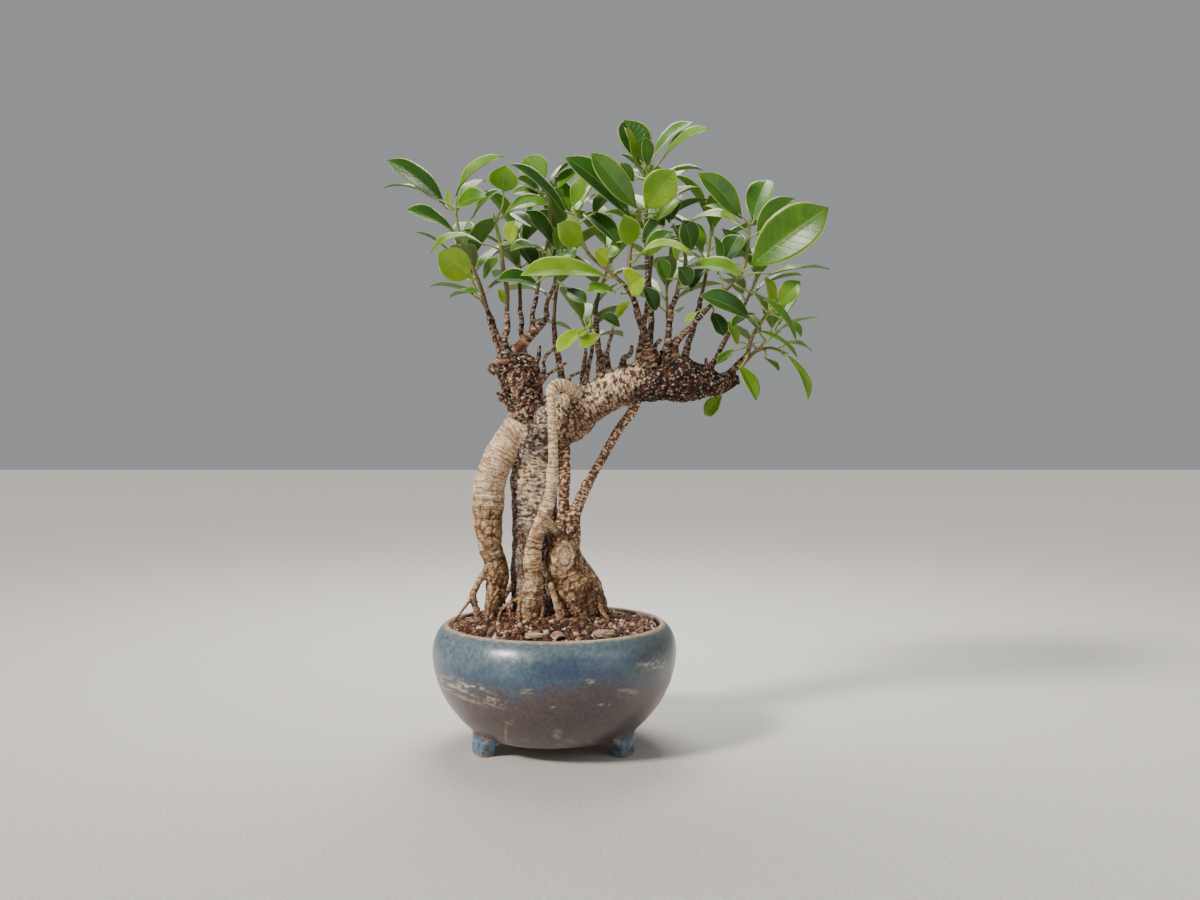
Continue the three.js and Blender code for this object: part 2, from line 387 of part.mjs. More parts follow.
// Shoots at the front and sides. A leaf is [place along the stem from 0 to 1, foot of the blade,
// tip of the blade, width, facing, arch]. Facing is the angle in degrees that the upper side is
// turned up from looking straight to the front; arch is the rise of the midrib over its length.
const SHOOTS = {
  "shoot_left_tip": {
    "stem": [[-44.7, -5, 288.9, 1.3], [-48.5, -6, 302, 1.3], [-55, -8, 318.5, 1.2],
      [-62, -8, 335.5, 1.1], [-65, -8, 352.5, 1]],
    "leaves": [
      [1, [-72, -9, 356], [-107.5, -20, 383.8], 19, 42, 0.06],
      [0.98, [-71, -4, 354], [-114, 4, 371], 17, 80, 0.12],
      [0.78, [-66, -12, 338], [-95, -26, 350], 17, 52, 0.05],
      [1, [-69, -9, 353.5], [-70, -9, 367], 3.4, 0, 0.02],
      [1, [-65, -10, 361], [-32.5, -22, 385.3], 17, 58, 0.12],
      [0.98, [-62.5, -3, 361], [-47.5, 14, 377.4], 14, 50, 0.05],
      [0.96, [-63, -15, 355], [-42, -34, 357], 16, 25, 0.08],
      [0.72, [-53, -12, 347], [-34, -20, 364.2], 15, 62, 0.08],
      [0.3, [-55, -12, 308.5], [-74, -27, 322.5], 23, 10, 0.03],
      [0.12, [-50, -1, 299], [-71, 11, 297.5], 14, 74, 0.06]]},
  "shoot_left_inner": {
    "stem": [[-31, -10, 286, 1.5], [-31, -10, 300, 1.5], [-33, -12, 312, 1.4],
      [-35, -14, 329, 1.3], [-38, -16, 343.5, 1.1]],
    "leaves": [
      [0.7, [-44, -21, 327], [-78.2, -35, 321.4], 16, 66, 0.2],
      [0.6, [-36, -6, 321.5], [-49, 17, 312], 12, 40, 0.05],
      [1, [-32, -26, 362], [-29.5, -43, 375], 20, 0, 0.04],
      [0.98, [-33, -19, 345], [-2.5, -36, 351.7], 16, 50, 0.18],
      [0.75, [-28, -26, 328.3], [-24, -40, 340.5], 11, 20, 0.05],
      [0.05, [-33, -13, 291], [-36, -18, 300], 6, 30, 0.05]]},
  "shoot_crown_left": {
    "stem": [[-12, -2, 298, 1.3], [-9, -2, 315, 1.3], [-4, -4, 335, 1.2], [-3, -6, 355, 1.1],
      [-5, -6, 366, 1]],
    "leaves": [
      [1, [-7, -8, 371], [-20, -4, 388], 20, 12, 0.05],
      [1, [-3, -4, 371], [14, 8, 388], 14, 75, 0.08],
      [0.95, [-9, -11, 363], [-24, -24, 370], 13, 48, 0.08],
      [0.85, [-4.5, -13, 357], [-27, -23, 361], 14, 56, 0.16],
      [0.95, [2.5, -6, 367], [17, 5, 382], 14, 45, 0.08],
      [0.55, [1, -8, 328], [-19, -18, 351], 17, 50, 0.06],
      [0.3, [-14, 4, 314], [-26, 12, 334], 18, 45, 0.06],
      [0.35, [-2, 2, 320], [4, 8, 343], 15, 45, 0.06],
      [0.65, [-14, 0, 342], [-30, 8, 354], 13, 45, 0.06],
      [0.4, [3, -9, 326], [1, -15, 341], 8, 20, 0.05]]},
  "shoot_low_left": {
    "stem": [[0.2, -5.2, 305, 1.2], [1, -9, 314, 1.1], [-2, -14, 322, 1]],
    "leaves": [
      [0.3, [-10, -13, 302.5], [-35.4, -30, 304.6], 16, 45, 0.08],
      [1, [-7, -20, 325], [-27, -36, 322], 15, 58, 0.1],
      [0.9, [4, -21, 322], [14, -37, 318], 14, 40, 0.08],
      [0.1, [7, -8, 300], [21, -16, 291], 12, 30, 0.06]]},
  "shoot_crown_mid": {
    "stem": [[45.6, -21.4, 302.5, 1.3], [37, -22, 310, 1.3], [22, -18, 323.5, 1.2],
      [17, -16, 338, 1.1], [14, -14, 349, 1]],
    "leaves": [
      [0.98, [9, -17, 346], [-28, -30, 379.7], 17, 62, 0.06],
      [1, [12, -16, 354], [21, -22, 372.5], 13, 35, 0.04],
      [0.97, [18, -11, 354], [33, 4, 379], 13, 74, 0.06],
      [0.5, [17.5, -26, 328], [4, -41, 338.6], 18, 8, 0.04],
      [0.12, [33.8, -33, 306], [-19, -52, 306], 20, 45, 0.06],
      [0.2, [35, -31, 315], [26, -44, 321], 12, 20, 0.05],
      [0.02, [40, -32, 296], [22, -47, 295.5], 14, 54, 0.08],
      [0.9, [10, -4, 352], [0, 4, 377], 15, 30, 0.06],
      [0.85, [26, -16, 348], [40, -7, 368], 13, 40, 0.06],
      [0.35, [31, -14, 320], [43, -20, 325], 10, 40, 0.06]]},
  "shoot_crown_centre": {
    "stem": [[49.6, -19, 304, 1.4], [49, -18, 314, 1.4], [50, -16, 328, 1.3],
      [53.5, -14, 342, 1.2], [56, -13, 350, 1]],
    "leaves": [
      [0.95, [49, -20, 346.7], [7, -34, 382.7], 20, 25, 0.06],
      [0.98, [53.5, -25, 351], [24.3, -41, 383.3], 19, 24, 0.05],
      [0.6, [43, -12, 328], [19, -4, 352], 18, 40, 0.05],
      [0.55, [49.3, -28, 327], [45, -43, 343.7], 16, 12, 0.05],
      [0.3, [51, -33, 314], [87.2, -48, 318.3], 17, 66, 0.22],
      [0.15, [48, -37, 299], [57, -62, 303], 20, 0, 0.06],
      [1, [60, -26, 351], [77, -44, 371.6], 23, 5, 0.05],
      [0.9, [64, -6, 348], [97, 4, 371], 18, 67, 0.08],
      [0.4, [60, -14, 322], [76, -24, 336], 15, 30, 0.06],
      [0.6, [58, -11, 331], [72, -13, 348], 13, 8, 0.06],
      [0.85, [66, -14, 344], [82, -22, 357], 13, 45, 0.06],
      [0.12, [58, -14, 302], [67, -7, 287], 13, 30, 0.06]]},
  "shoot_apex": {
    "stem": [[61, -2, 321, 1.4], [60.5, -3, 345, 1.3], [61, -4, 365, 1.1], [62, -4, 378, 1]],
    "leaves": [
      [0.95, [57, -6, 383], [46, -2, 413.5], 24, 20, 0.05],
      [0.9, [53, -12, 380], [46.7, -17, 405], 13, 60, 0.04],
      [1, [61, -12, 381], [59, -20, 398], 13, 45, 0.04],
      [1, [66, -4, 389], [91.4, -8, 411], 17, 58, 0.1],
      [0.98, [71, -12, 386], [100.8, -24, 402.3], 16, 58, 0.08],
      [0.88, [56, 3, 376], [43, 16, 384], 14, 58, 0.06],
      [0.85, [52, -11, 371], [43, -21, 381], 9, 30, 0.08],
      [0.9, [70, -2, 376], [98, -2, 381], 13, 74, 0.08]]},
  "shoot_right_crown": {
    "stem": [[97, -12.2, 284, 1.5], [110, -14, 298, 1.4], [121, -16, 309, 1.3],
      [125.5, -15, 321, 1.2], [127.5, -12, 341, 1]],
    "leaves": [
      [1, [122, -16, 346], [93.5, -30, 373], 19, 25, 0.06],
      [1, [131, -4, 347], [142.7, 12, 377.4], 19, 25, 0.05],
      [0.9, [132, -19, 335], [153.2, -36, 355.5], 20, 20, 0.06],
      [0.55, [128, -24, 314.5], [173.6, -42, 348.4], 33, 10, 0.07],
      [0.45, [139, -12, 309], [181, -5, 315], 17, 78, 0.06],
      [0.6, [112, -4, 318], [124, 10, 340], 17, 25, 0.05],
      [0.95, [118, -5, 345], [98, 8, 358], 15, 58, 0.08],
      [0.25, [106, -20, 309], [103, -26, 334], 13, 62, 0.06],
      [0.4, [127, -27, 297], [154, -38, 266], 14, 62, 0.1],
      [0.1, [104, -4, 286], [111, -10, 270], 13, 30, 0.05],
      [0.08, [93, -18, 285], [85, -25, 277], 5, 40, 0.05]]},
  "shoot_right_inner": {
    "stem": [[80.1, -12, 296.6, 1.4], [82, -12, 305, 1.4], [86, -12, 318, 1.3],
      [84, -11, 330, 1.2], [80, -11, 338, 1]],
    "leaves": [
      [0.6, [90, -16, 326], [84, -28, 343], 16, 20, 0.05],
      [1, [83, -21, 338], [118.8, -36, 341], 16, 68, 0.18],
      [0.35, [82, -26, 311], [119, -49, 305], 18, 55, 0.12],
      [0.12, [88, -22, 302], [80, -34, 312], 13, 8, 0.05],
      [1, [76, -3, 345], [82, 10, 367], 14, 30, 0.05],
      [0.3, [73, -16, 305], [68, -20, 320], 11, 20, 0.05],
      [0.65, [96, -2, 326], [92, 8, 348], 15, 35, 0.06],
      [0.5, [80, -16, 318], [77, -22, 333], 6, 30, 0.05],
      [0.1, [90, -4, 300], [100, 4, 316], 14, 50, 0.06]]},
  "shoot_right_low": {
    "stem": [[127.5, -6.2, 258.8, 1.4], [129.5, -8, 268, 1.3], [135, -10, 278, 1.2], [141, -12, 286, 1]],
    "leaves": [
      [1, [146.3, -18, 289.4], [158.5, -26, 304], 14, 20, 0.05],
      [1, [142, -7, 291], [141, 3, 310], 13, 45, 0.05],
      [0.95, [137, -6, 289], [130, 6, 302], 10, 68, 0.06],
      [0.4, [130, -17, 273], [157, -26, 255], 13, 68, 0.1],
      [0.6, [127, -22, 280.5], [93, -42, 293.4], 19, 40, 0.08],
      [0.05, [120, -14, 251], [131, -22, 227.7], 13, 40, 0.06],
      [0.95, [149, -10, 281], [161.5, -14, 269], 12, 60, 0.1],
      [0.98, [146, -3, 286], [157, 8, 284], 9, 50, 0.05],
      [0.7, [131, -15, 284], [114, -26, 274], 9, 55, 0.08],
      [0.2, [120, -12, 264], [113, -18, 279], 9, 40, 0.05],
      [0.15, [119, -10, 261], [106, -16, 251], 8, 45, 0.08]]},
  "shoot_right_hanging": {
    "stem": [[126.4, 9, 254.5, 1.3], [135, 4, 261, 1.2], [143, -3, 262.5, 1], [149, -8, 260, 0.9]],
    "leaves": [
      [1, [152, -14, 257], [165.5, -19, 227.7], 13, 55, 0.06],
      [0.5, [138, -4, 256], [147, -12, 247], 9, 60, 0.06],
      [0.85, [152, 2, 266], [172, 6, 261.5], 12, 72, 0.08]]},
  "shoot_low_mid": {
    "stem": [[24.4, -6, 272.6, 0.9], [24, -7, 277, 0.9]],
    "leaves": [
      [1, [19, -10, 274], [2, -17, 259], 13, 35, 0.05],
      [0.5, [30, -12, 271], [17, -19, 261], 11, 35, 0.05],
      [0.8, [22, -12, 274], [15, -18, 269], 6, 30, 0.05]]},
  "shoot_low_centre": {
    "stem": [[38, -6, 272.6, 0.9], [38.5, -7, 277, 0.9]],
    "leaves": [
      [1, [40, -9, 281], [49, -16, 292], 8, 40, 0.05],
      [0.7, [43, -10, 276], [31, -16, 283], 10, 40, 0.06]]},
  "leaf_under_limb": {
    "stem": [[109, 8, 234.5, 1], [111, 9, 232.5, 0.9]],
    "leaves": [[0.6, [112, 10, 231], [101, 18, 218], 12, 35, 0.05]]},
};

// Shoots on the far side, whose leaves stand round the stem. Each is its stem, the number of
// leaves, the direction of the first leaf in degrees and the length of its longest leaf.
const BACK_SHOOTS = {
  "shoot_back_left_low": [
    [[-44.2, 28.5, 284.8, 1.3], [-52, 35, 298, 1.2], [-60, 40, 312, 1.1], [-66, 43, 323, 0.9]],
    8, 210, 42],
  "shoot_back_left": [
    [[-25.1, 32.4, 294.8, 1.3], [-26, 40, 312, 1.2], [-27, 46, 330, 1.1], [-28, 50, 346, 0.9]],
    8, 120, 40],
  "shoot_back_mid_left": [
    [[-2, 34.4, 282.8, 1.3], [-1, 40, 300, 1.2], [2, 44, 320, 1.1], [4, 46, 342, 0.9]],
    8, 150, 41],
  "shoot_back_mid": [
    [[27, 36.4, 290.8, 1.3], [30, 43, 306, 1.2], [36, 53, 324, 1.1], [40, 62, 342, 0.9]],
    8, 252, 40],
  "shoot_back_mid_low": [
    [[20, 35.4, 260.8, 1.2], [20, 44, 268, 1.1], [20, 54, 275, 1], [20, 62, 282, 0.9]],
    6, 45, 36],
  "shoot_back_crown": [
    [[64, 32.4, 310.8, 1.3], [66, 36, 330, 1.2], [68, 38, 350, 1.1], [70, 38, 368, 0.9]],
    8, 295, 38],
  "shoot_back_low": [
    [[78.1, 48.6, 276.6, 1.2], [78, 58, 288, 1.1], [78, 66, 302, 1], [78, 72, 316, 0.9]],
    8, 75, 38],
  "shoot_back_right": [
    [[100.2, 32.4, 300.8, 1.3], [104, 38, 318, 1.2], [106, 42, 334, 1.1], [108, 44, 350, 0.9]],
    8, 315, 42],
  "shoot_back_right_low": [
    [[122.2, 30.4, 282.8, 1.2], [130, 36, 294, 1.1], [136, 40, 306, 1], [142, 42, 318, 0.9]],
    8, 105, 40],
  "shoot_back_far_right": [
    [[127.4, 22.4, 252.6, 1.2], [136, 28, 261, 1.1], [144, 34, 268, 1], [152, 38, 274, 0.9]],
    6, 80, 36],
};

const BLADE_STATIONS = [[0.26, 0.72], [0.56, 1], [0.83, 0.68]];

function frontFacing(along, degrees) {
  const front = new THREE.Vector3(0, -1, 0);
  front.addScaledVector(along, -front.dot(along)).normalize();
  const up = front.clone().cross(along);
  if (up.z < 0) up.negate();
  const angle = THREE.MathUtils.degToRad(degrees);
  return front.multiplyScalar(Math.cos(angle)).addScaledVector(up, Math.sin(angle));
}

function upFacing(along) {
  const up = new THREE.Vector3(0, 0, 1);
  return up.addScaledVector(along, -up.z * along.z).normalize();
}

// A leaf blade: a thin lens with raised edges, bowed along its midrib.
function blade(foot, tip, width, normal, arch) {
  const reach = tip.clone().sub(foot);
  const length = reach.length();
  const along = reach.clone().normalize();
  const aside = along.clone().cross(normal);
  const points = [foot.clone()];
  for (const [part, breadth] of BLADE_STATIONS) {
    const rise = arch * length * 4 * part * (1 - part);
    const middle = foot.clone().addScaledVector(reach, part).addScaledVector(normal, rise);
    const half = (breadth * width) / 2;
    const edge = LEAF_FOLD * half;
    points.push(
      middle.clone().addScaledVector(aside, half).addScaledVector(normal, edge),
      middle.clone().addScaledVector(normal, LEAF_THICKNESS / 2),
      middle.clone().addScaledVector(aside, -half).addScaledVector(normal, edge),
      middle.clone().addScaledVector(normal, -LEAF_THICKNESS / 2));
  }
  points.push(tip.clone());
  const index = [];
  const end = points.length - 1;
  for (let corner = 0; corner < 4; corner++) {
    const next = (corner + 1) % 4;
    index.push(0, 1 + corner, 1 + next);
    index.push(end, end - 4 + next, end - 4 + corner);
    for (let ring = 1; ring < end - 4; ring += 4) {
      index.push(ring + corner, ring + 4 + corner, ring + 4 + next);
      index.push(ring + corner, ring + 4 + next, ring + next);
    }
  }
  const geometry = new THREE.BufferGeometry();
  geometry.setAttribute("position", new THREE.Float32BufferAttribute(points.flatMap((p) => [...p]), 3));
  geometry.setIndex(index);
  return solidOf(geometry);
}

function leaf(node, foot, tip, width, normal, arch) {
  const inside = foot.clone().lerp(tip, PETIOLE_BITE);
  inside.addScaledVector(normal, arch * foot.distanceTo(tip) * 4 * PETIOLE_BITE * (1 - PETIOLE_BITE));
  const stalk = [node, inside].map((point) => [...point, PETIOLE_RADIUS]);
  return solidOf(taperedTube(stalk, 3)).add(blade(foot, tip, width, normal, arch));
}

function frontShoot(row) {
  const stem = pathThrough(row.stem);
  const leaves = row.leaves.map(([place, foot, tip, width, facing, arch]) => {
    const from = new THREE.Vector3(...foot);
    const to = new THREE.Vector3(...tip);
    const along = to.clone().sub(from).normalize();
    return leaf(stem.getPoint(place), from, to, width, frontFacing(along, facing), arch);
  });
  return joined([solidOf(taperedTube(row.stem, 4)), ...leaves]);
}

function heading(azimuth, elevation) {
  const turn = THREE.MathUtils.degToRad(azimuth);
  const lift = THREE.MathUtils.degToRad(elevation);
  const level = Math.cos(lift);
  return new THREE.Vector3(Math.cos(turn) * level, Math.sin(turn) * level, Math.sin(lift));
}

// Leaves stand at the golden angle round the stem, steeper towards its tip.
function backShoot([stations, count, first, longest]) {
  const stem = pathThrough(stations);
  const parts = [solidOf(taperedTube(stations, 4))];
  for (let number = 0; number < count; number++) {
    const part = number / (count - 1);
    const azimuth = first + number * GOLDEN_ANGLE;
    const node = stem.getPoint(FIRST_NODE + (1 - FIRST_NODE) * part);
    const stalk = heading(azimuth, STALK_RISE + STALK_LIFT * part);
    const foot = node.clone().addScaledVector(stalk, PETIOLE_LENGTH);
    const length = longest * (1 - BLADE_TAPER * Math.abs(part - 0.5));
    const reach = heading(azimuth, BLADE_RISE + BLADE_LIFT * part);
    const tip = foot.clone().addScaledVector(reach, length);
    parts.push(leaf(node, foot, tip, length * BLADE_BREADTH, upFacing(reach), BLADE_ARCH));
  }
  return joined(parts);
}

// ---- the whole plant ----

const bonsai = new THREE.Group();
bonsai.name = "ficus_bonsai";
bonsai.add(meshOf("pot", pot(), GLAZE));
bonsai.add(meshOf("drain_net", drainNet(), NET));
bonsai.add(meshOf("soil", soil(), SOIL));
bonsai.add(meshOf("bark_chip", barkChip(), CHIP_TAN));
bonsai.add(meshOf("bark_curl", barkCurl(), CHIP_BROWN));
bonsai.add(meshOf("pebble", pebble(), PEBBLE));
bonsai.add(meshOf("trunk_and_roots", wood(), BARK));
for (const [name, row] of Object.entries(SHOOTS)) bonsai.add(meshOf(name, frontShoot(row), LEAF));
for (const [name, row] of Object.entries(BACK_SHOOTS)) bonsai.add(meshOf(name, backShoot(row), LEAF));

const middle = new THREE.Box3().setFromObject(bonsai, true).getCenter(new THREE.Vector3());
bonsai.position.set(-middle.x, -middle.y, 0);
bonsai.updateMatrixWorld(true);

export default bonsai;
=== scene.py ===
"""The looks of a small fig bonsai in a glazed pot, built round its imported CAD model.

Shapes are worked out in millimetres from the point on the floor under the middle of the pot, with
+X to the right of the front and +Y to the back, and become metres in the model's frame in finish_mesh.
"""
import math
import random

import bmesh
import bpy
import numpy as np
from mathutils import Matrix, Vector, noise


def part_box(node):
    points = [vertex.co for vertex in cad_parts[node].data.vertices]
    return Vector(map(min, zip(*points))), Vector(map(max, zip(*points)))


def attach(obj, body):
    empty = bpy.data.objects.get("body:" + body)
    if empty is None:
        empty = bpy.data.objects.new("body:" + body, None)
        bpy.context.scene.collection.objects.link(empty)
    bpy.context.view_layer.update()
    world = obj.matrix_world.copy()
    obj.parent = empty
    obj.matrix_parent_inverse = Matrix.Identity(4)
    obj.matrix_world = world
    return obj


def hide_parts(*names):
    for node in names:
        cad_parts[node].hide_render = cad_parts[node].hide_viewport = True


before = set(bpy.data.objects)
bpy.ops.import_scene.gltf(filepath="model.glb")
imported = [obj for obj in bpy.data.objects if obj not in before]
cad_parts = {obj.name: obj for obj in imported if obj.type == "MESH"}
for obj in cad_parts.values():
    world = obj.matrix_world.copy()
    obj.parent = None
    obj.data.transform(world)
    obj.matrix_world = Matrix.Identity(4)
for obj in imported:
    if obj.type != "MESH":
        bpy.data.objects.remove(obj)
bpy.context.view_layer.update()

MM = 0.001
pot_low, pot_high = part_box("pot")
POT_X = (pot_low.x + pot_high.x) / 2
POT_Y = (pot_low.y + pot_high.y) / 2

# The camera is level and looks straight to the back from this place.
CAMERA_X = 30
CAMERA_DISTANCE = 800
CAMERA_HEIGHT = 218

# The thick members of the wood: places [x, y, z, radius] along the middle of each.
MEMBERS = {
  "root_left": [
    [-40, -2, 66, 9.5], [-39, -2, 85, 8], [-39, -2, 100, 6.8], [-38, -2, 110, 8], [-39, -2, 120, 8],
    [-42.5, -2, 130, 8], [-43.5, -2, 140, 9], [-44.5, -2, 150, 10.2], [-44, -2, 160, 11],
    [-43.5, -2, 170, 10.5], [-41, -1, 180, 10.5], [-37, 0, 190, 10.5], [-31, 2, 200, 10.5],
    [-24, 3, 208, 12], [-14, 4, 214, 12]],
  "trunk_core": [
    [-8, 6, 64, 23], [-9, 6, 80, 21], [-12, 8, 92, 18], [-14, 9, 106, 16], [-14, 9, 130, 15],
    [-14, 9, 160, 15.5], [-13, 9, 185, 16], [-11, 6, 200, 17], [-7, 3, 213, 16]],
  "root_back": [
    [-18, 19, 66, 11], [-20, 19, 84, 10], [-20, 18, 100, 8], [-19, 16, 130, 7.5],
    [-17, 15, 160, 7.5], [-15, 12, 185, 8], [-13, 9, 200, 9]],
  "root_back_right": [
    [8, 17, 66, 13], [7, 16, 84, 12], [4, 15, 104, 9], [-2, 13, 130, 8], [-6, 11, 152, 8]],
  "buttress_right": [
    [2, -10, 140, 7], [6, -13, 131.5, 10], [8, -12, 121, 12.5], [11, -8, 111, 16],
    [15, -5, 100, 18], [16, -3, 90, 19], [17, -2, 66, 19]],
  "knot": [[8, -14, 127, 9], [8, -22.5, 126, 8.6], [8, -25.5, 126, 6]],
  "mid_root": [
    [6, 0, 204, 4.5], [6.5, 2, 190, 4], [6.5, 2, 175, 4], [5, 2, 150, 4], [2, 2, 136, 5]],
  "limb_left": [
    [-14, 3, 205, 11], [-19, 2, 215, 11], [-20.5, 2, 225, 12], [-21.5, 2, 235, 13.5],
    [-24, 1, 245, 14.5], [-26, 0, 252, 13.5], [-27, 0, 256.5, 9]],
  "limb_right": [
    [-10, 4, 209, 15], [4, 3, 214, 16.5], [12, 2, 218, 16], [20, 2, 224.5, 14], [30, 1, 230, 13],
    [40, 0, 235.5, 13], [50, 0, 238.5, 13], [60, 0, 241, 14.5], [70, 0, 242, 15],
    [80, 0, 242, 15.5], [90, 0, 240.5, 14], [100, 0, 240, 11], [110, 0, 239, 7],
    [118, 0, 241, 4], [122, 0, 241.5, 2.5]],
  "root_front": [
    [15, -7, 232, 5], [9, -15, 236, 4.6], [3, -20, 237.5, 4.3], [-1, -22, 234.5, 4],
    [-1.6, -22, 229.5, 3.4], [-1.1, -22, 220, 3], [-1, -22, 210, 3], [-0.4, -22, 200.5, 3.2],
    [-0.2, -22, 191, 3.5], [-0.6, -22, 181, 4], [-1.3, -22, 171, 4.2], [-3.3, -22, 161.5, 4.5],
    [-7, -22, 152, 4.5], [-10.4, -22, 142, 4.8], [-12.8, -22, 132.5, 5.5], [-13.5, -22, 123, 6.2],
    [-13, -21, 113, 5.8], [-13.8, -21, 103, 6.8], [-15.4, -21, 93.5, 7.8], [-16.7, -21, 85, 8.5],
    [-17, -21, 68, 8.5]],
  "root_front_branch": [[-5.4, -19, 150.5, 3], [1, -14, 142.3, 3.5], [6, -11, 136, 3.5]],
  "prop_root": [
    [54, 4, 230, 5], [51.5, 5, 221, 3.6], [43.5, 5, 210, 3.2], [37.5, 5, 200, 3.2],
    [32, 4, 190, 3.2], [26, 3, 180, 3.4], [20.5, 2, 170, 4], [16, 1, 160, 4.2],
    [13.5, 0, 152, 4.2], [13, -1, 145, 4.2], [13, -3, 136, 4.5], [12, -5, 126, 4]],
  "surface_root_left": [
    [-42, -4, 119, 3], [-47, -6, 113, 2.6], [-52, -6, 104, 2.5], [-54, -6, 98, 2.7],
    [-52, -7, 92, 2.6], [-50, -7, 84, 2.7], [-50, -7, 70, 2.6]],
  "surface_root_inner": [
    [-21, -16, 99, 2.2], [-27, -16, 97, 1.7], [-32.5, -15, 93, 1.6], [-35.5, -14, 87, 1.6],
    [-36.5, -14, 74, 1.6]],
  "surface_root_middle": [
    [-2, -19, 109, 2.6], [0, -24, 103, 2.2], [2, -26.5, 97, 2.2], [4, -28, 89.5, 2.4],
    [6, -29, 82, 2.6], [7, -29, 72, 2.6]],
}

# The same for the bare twigs and stubs.
TWIGS = {
  "ridge": [
    [-42, -6, 247, 3.4], [-38, -8, 251, 3.8], [-30, -9, 257, 4], [-20, -8, 266, 3.4],
    [-14, -7, 272.5, 3], [-10, -6, 276.5, 2.5], [-5, -5, 282.5, 1.9]],
  "ridge_fork": [[-14.5, -6, 273, 2.4], [-14.5, -5, 280, 1.8], [-13.5, -3, 290, 1.5], [-12, -2, 297, 1.4]],
  "ridge_end": [[-5, -5, 282.5, 1.9], [-5.5, -5, 290, 1.5], [-2, -5, 299, 1.4], [0, -5, 304, 1.3]],
  "left_low": [
    [-34, -5, 253, 2.8], [-36, -6, 260, 1.9], [-39, -6, 268, 1.6], [-42, -5, 278, 1.6],
    [-44.5, -5, 288, 1.5]],
  "left_high": [
    [-31, -10, 252, 4], [-32, -12, 259, 3.2], [-32.5, -12, 267, 2.4], [-31, -11, 275, 2],
    [-31, -10, 285, 1.7]],
  "stub_a": [[-14, -4, 250, 3], [-11, -6, 256.5, 1.6], [-9.5, -7, 264, 1]],
  "stub_b": [
    [-14, -4, 240, 3], [-7, -6, 246, 1.6], [-7, -7, 255, 1.2], [0, -7, 262.5, 1], [1.5, -7, 265.5, 0.8]],
  "stub_c": [[-12, -2, 238, 3], [-5, -5, 244, 1.4], [2, -6, 249, 1.1], [8, -6, 252.7, 0.9]],
  "stub_d": [[12, -4, 228, 3], [10, -8, 242, 1.2], [17, -9, 246.6, 0.9]],
  "stub_e": [[20, -2, 234, 2.6], [22, -4, 250, 1.6], [25, -6, 262, 1.2], [24.5, -6, 272, 1]],
  "stub_f": [[30, -4, 240, 2.6], [31, -6, 252, 1.8], [32, -7, 260, 1.1]],
  "stub_g": [[36, -4, 244, 2.6], [35, -5, 262, 1.2], [38, -6, 272, 1.1]],
  "stub_h": [[45, -4, 248, 3], [46, -6, 256, 2], [50, -7, 258, 1.6], [51, -7, 264, 1]],
  "stub_i": [[58, -6, 252, 2.6], [59, -7, 262, 1.6], [57, -8, 271, 1.2]],
  "stub_j": [[68, -6, 254, 2.6], [66, -9, 262, 1.5], [70, -10, 268, 1.2]],
  "centre": [
    [64, -10, 250, 4], [62, -13, 260, 3], [60, -15, 268, 2.6], [56, -17, 279, 2.3],
    [53, -18, 289, 2], [50.5, -19, 297, 1.8]],
  "centre_left": [[50.5, -19, 296, 1.7], [46, -21, 302, 1.5]],
  "centre_right": [[50.5, -19, 296, 1.7], [49.7, -19, 303.5, 1.5]],
  "apex": [
    [60, 6, 250, 3.5], [63, 4, 262, 2.4], [64, 1, 285, 2], [62, -1, 305, 1.8], [61, -2, 320, 1.6]],
  "inner_right": [
    [73, -8, 252, 3.4], [74, -11, 262, 2.6], [75, -12, 277, 2], [77, -12, 289, 1.8], [80, -12, 296, 1.7]],
  "right": [
    [78, -6, 254, 4], [80, -9, 266, 2.6], [86, -10, 272.5, 2], [92, -11, 278.5, 1.8],
    [96.5, -12, 283.3, 1.6]],
  "right_low": [[112, -1, 240, 4], [116, -2, 246, 2.4], [121, -4, 252, 1.9], [127, -6, 258, 1.6]],
  "right_hanging": [[106, 2, 240, 4], [115, 5, 243, 2], [121, 8, 249, 1.7], [126, 9, 254, 1.5]],
  "back_left_low": [[-28, 8, 246, 4], [-34, 14, 258, 2], [-40, 22, 272, 1.6], [-44, 28, 284, 1.5]],
  "back_left": [[-20, 8, 244, 4], [-22, 18, 262, 2], [-24, 26, 280, 1.7], [-25, 32, 294, 1.5]],
  "back_mid_left": [[8, 8, 222, 4], [4, 20, 244, 2.4], [0, 28, 264, 2], [-2, 34, 282, 1.6]],
  "back_mid": [[30, 8, 236, 4], [30, 20, 254, 2.4], [28, 30, 272, 2], [27, 36, 290, 1.6]],
  "back_mid_low": [[20, 8, 228, 4], [18, 20, 240, 2], [19, 30, 252, 1.6], [20, 35, 260, 1.4]],
  "back_crown": [[56, 8, 248, 4], [58, 20, 268, 2.2], [62, 28, 290, 1.8], [64, 32, 310, 1.6]],
  "back_low": [[66, 10, 242, 4], [72, 26, 254, 2.2], [76, 38, 264, 1.8], [78, 48, 276, 1.6]],
  "back_right": [[84, 8, 246, 4], [90, 18, 266, 2.2], [96, 26, 284, 1.8], [100, 32, 300, 1.6]],
  "back_right_low": [[98, 6, 242, 4], [108, 16, 256, 2], [116, 24, 270, 1.7], [122, 30, 282, 1.5]],
  "back_far_right": [[104, 4, 240, 4], [116, 14, 246, 1.8], [127, 22, 252, 1.5]],
}

